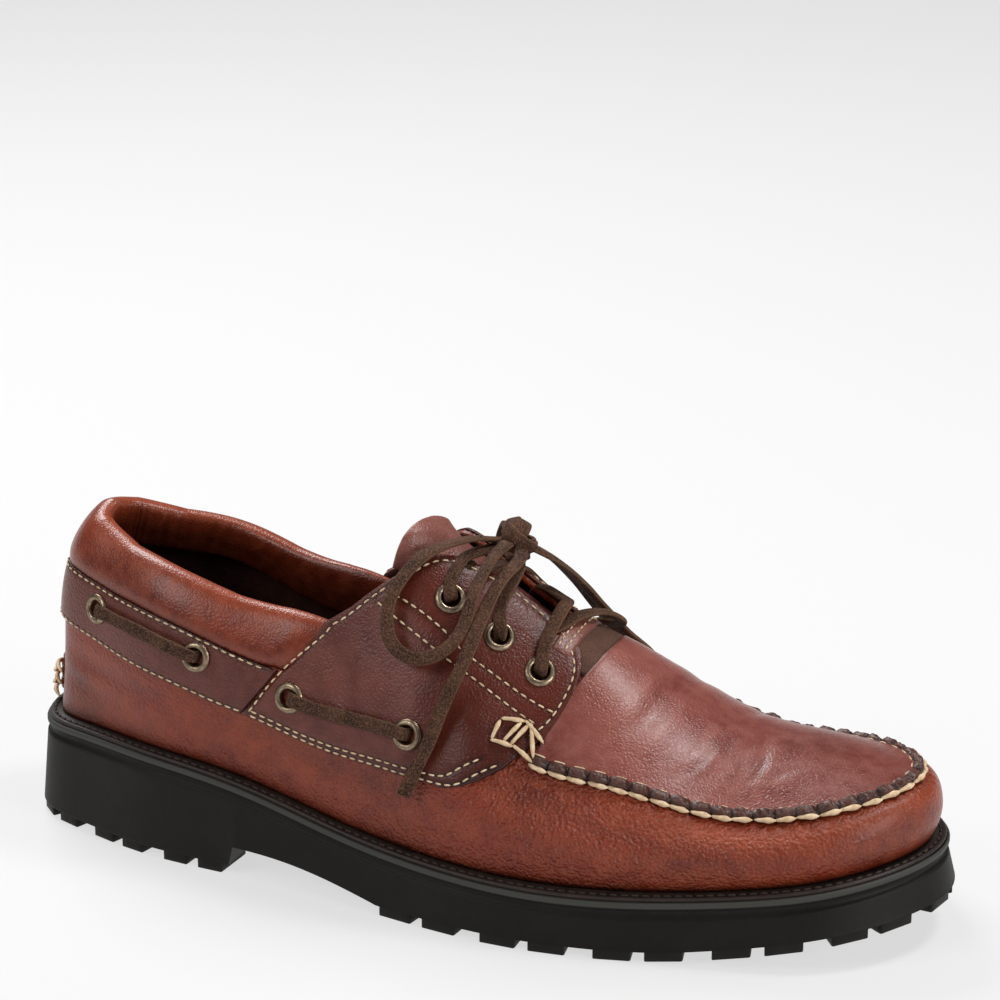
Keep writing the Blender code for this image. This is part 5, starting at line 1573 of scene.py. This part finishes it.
# Eyelets: antique-brass rings, each pressed from one tube through the leather and rolled over outside. The
# brass is darker and duller in patches where it has tarnished.
EYELET_NODES = ("eyelet_top", "eyelet_middle", "eyelet_front", "side_eyelet_heel", "side_eyelet_band",
                "side_eyelet_quarter", "side_eyelet_saddle")
EYELET_PROFILE = np.array([
    (2.70, -3.4), (2.68, -1.0), (2.70, 0.2), (2.85, 0.75), (3.15, 1.15), (3.60, 1.32), (4.10, 1.22),
    (4.55, 0.92), (4.85, 0.55), (4.90, 0.42), (4.70, 0.38), (3.60, 0.45), (3.05, 0.20), (3.05, -3.4)
]) / 1000
LACE_TUBE = -0.0034
SIDE_TUBE = -0.0013


def brass():
    made = Nodes("antique brass")
    tarnish = made.ramp(made.noise(700, 4.0, 0.65), (0.35, 0.0), (0.70, 1.0))
    colour = made.mix(tarnish, (0.36, 0.275, 0.19), (0.15, 0.105, 0.066))
    shine = made.ramp(tarnish, (0.0, 0.30), (1.0, 0.48))
    return made.finish_with(colour, shine, made.noise(1500, 3.0), 0.0001, 0.4, Metallic=1.0)


def surface_frame(angle, share, out):
    """Place and axes (along, across, normal) of a spot on the upper's face."""
    place = last(angle, share, out)
    normal = unit(last(angle, share, out + STEP) - place)
    along = unit(np.cross(np.cross((1, 0, 0), normal), normal) * -1)
    return place, np.stack([along, np.cross(normal, along), normal])


eyelet_finish = brass()
turn = np.linspace(0, 2 * np.pi, 40, endpoint=False)[:, None]
radius, depth = EYELET_PROFILE.T
eyelet_quads = grid_quads(len(turn), len(radius), loop_rows=True, loop_columns=True)
eyelet_frames = {}
for i, (angle, up) in enumerate(eyelet_centres()):
    name = EYELET_NODES[i % 7] + ("_lateral" if angle > 0 else "_medial")
    place, axes = surface_frame(angle, up, PANEL_LIFT + PANEL_THICKNESS + float(relief(angle, up)) - 0.0003)
    height = np.where(depth < -0.003, LACE_TUBE if up > 0.6 else SIDE_TUBE, depth)
    ring = np.stack([radius * np.cos(turn), radius * np.sin(turn), height + 0 * turn], axis=-1)
    eyelet_frames[name] = place, axes
    points = (ring @ axes + place).reshape(-1, 3)
    make_piece("brass_" + name, points, eyelet_quads, [eyelet_finish], "eyelet_brass", name)


# Lacing: the same flat lace. On the front it comes up through an eyelet, crosses the tongue and goes under
# the other facing. On each side it shows as two straps, each dipping into the eyelets at its ends.
STRAP_SHARES = (0.10, 0.22, 0.5, 0.78, 0.90)
STRAP_OUT = np.array([0.0030, 0.0030, 0.0027, 0.0030, 0.0030])


def into_eyelet(name):
    """Points in millimetres that lead up through an eyelet."""
    place, axes = eyelet_frames[name]
    return [tuple((place + axes[2] * lift / 1000) * 1000) for lift in (-3.2, -1.2, 0.9)]


def under_facing(side, share, depth_share, out):
    """Point in millimetres under the facing of one side."""
    return tuple(last(side * angle_at(share), depth_share, out) * 1000)


def strap_end(eyelet, span):
    """Points in millimetres that lead a strap out of an eyelet, along the span to the other eyelet."""
    place, axes = eyelet
    return [
        tuple((place + axes[2] * lift / 1000 + span * shift / 1000) * 1000)
        for lift, shift in ((-3.0, -0.4), (0.2, 0.2), (1.6, 1.3))
    ]


crossings = [
    into_eyelet("eyelet_front_lateral") + [
        (28.5, -20.0, 79.0), (28.4, -16.6, 83.8), (28.7, -11.0, 87.2), (29.4, -6.0, 90.2),
        (29.0, 0.0, 90.6), (26.2, 5.0, 89.4),
        under_facing(-1, 0.572, 0.955, 0.0005), under_facing(-1, 0.562, 0.900, -0.0030)
    ],
    into_eyelet("eyelet_front_medial") + [
        (33.0, 21.0, 77.5), (38.6, 19.0, 78.4), (41.1, 14.0, 82.0), (39.2, 10.0, 85.2), (36.5, 6.5, 86.4),
        (33.9, 2.0, 86.9), (31.8, -3.0, 86.8), (29.0, -8.0, 85.4), (25.0, -10.5, 84.9),
        under_facing(1, 0.572, 0.935, -0.0030)
    ],
    into_eyelet("eyelet_middle_lateral") + [
        (13.8, -18.0, 89.6), (12.8, -12.0, 94.2), (13.4, -7.0, 97.4), (13.6, -2.0, 100.2),
        (11.0, 4.0, 101.2), (6.0, 9.0, 99.6),
        under_facing(-1, 0.515, 0.925, 0.0010), under_facing(-1, 0.508, 0.880, -0.0030)
    ],
    into_eyelet("eyelet_middle_medial") + [
        (14.4, 14.0, 90.4), (12.2, 9.0, 96.0), (9.6, 3.0, 99.2), (6.4, -4.0, 100.2), (3.4, -10.0, 99.4),
        under_facing(1, 0.512, 0.930, 0.0010), under_facing(1, 0.508, 0.880, -0.0030)
    ],
    into_eyelet("eyelet_top_lateral") + [
        (-2.0, -19.0, 99.6), (-1.7, -16.0, 102.0), (-0.5, -11.0, 104.9), (2.6, -8.0, 106.2),
        (5.0, -5.0, 106.5), (8.5, -1.0, 107.4)
    ],
    into_eyelet("eyelet_top_medial") + [
        (-0.6, 14.5, 99.0), (1.0, 12.0, 102.0), (4.0, 8.5, 104.9), (7.2, 5.2, 106.6), (10.0, 2.6, 107.6)
    ],
]
points, quads, edge = joined([lace_strip(route)[:3] for route in crossings])
make_piece("front_lacing", points, quads, [lace_finish], "rawhide", "lace_crossings", edge=edge)

for side_name, side in SIDES:
    for back, node in ((0, "heel"), (2, "quarter")):
        first, second = (eyelet_frames[f"{EYELET_NODES[3 + k]}_{side_name}"] for k in (back, back + 1))
        pairs = zip(SIDE_EYELETS[back], SIDE_EYELETS[back + 1])
        share, up = (np.interp(STRAP_SHARES, [0, 1], pair) for pair in pairs)
        middle = [tuple(point * 1000) for point in face(side * angle_at(share), up, STRAP_OUT)]
        span = unit(second[0] - first[0])
        route = [*strap_end(first, span), *middle, *strap_end(second, -span)[::-1]]
        points, quads, edge, _ = lace_strip(route, outward=unit(first[1][2] + second[1][2]))
        make_piece(f"side_strap_{node}_{side_name}", points, quads, [lace_finish], "rawhide",
                   f"side_lace_{node}_{side_name}", edge=edge)


shown_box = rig.bounds()
with open("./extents.json", "w") as sizes:
    json.dump([list(corner) for corner in (*cad_box, *shown_box)], sizes)
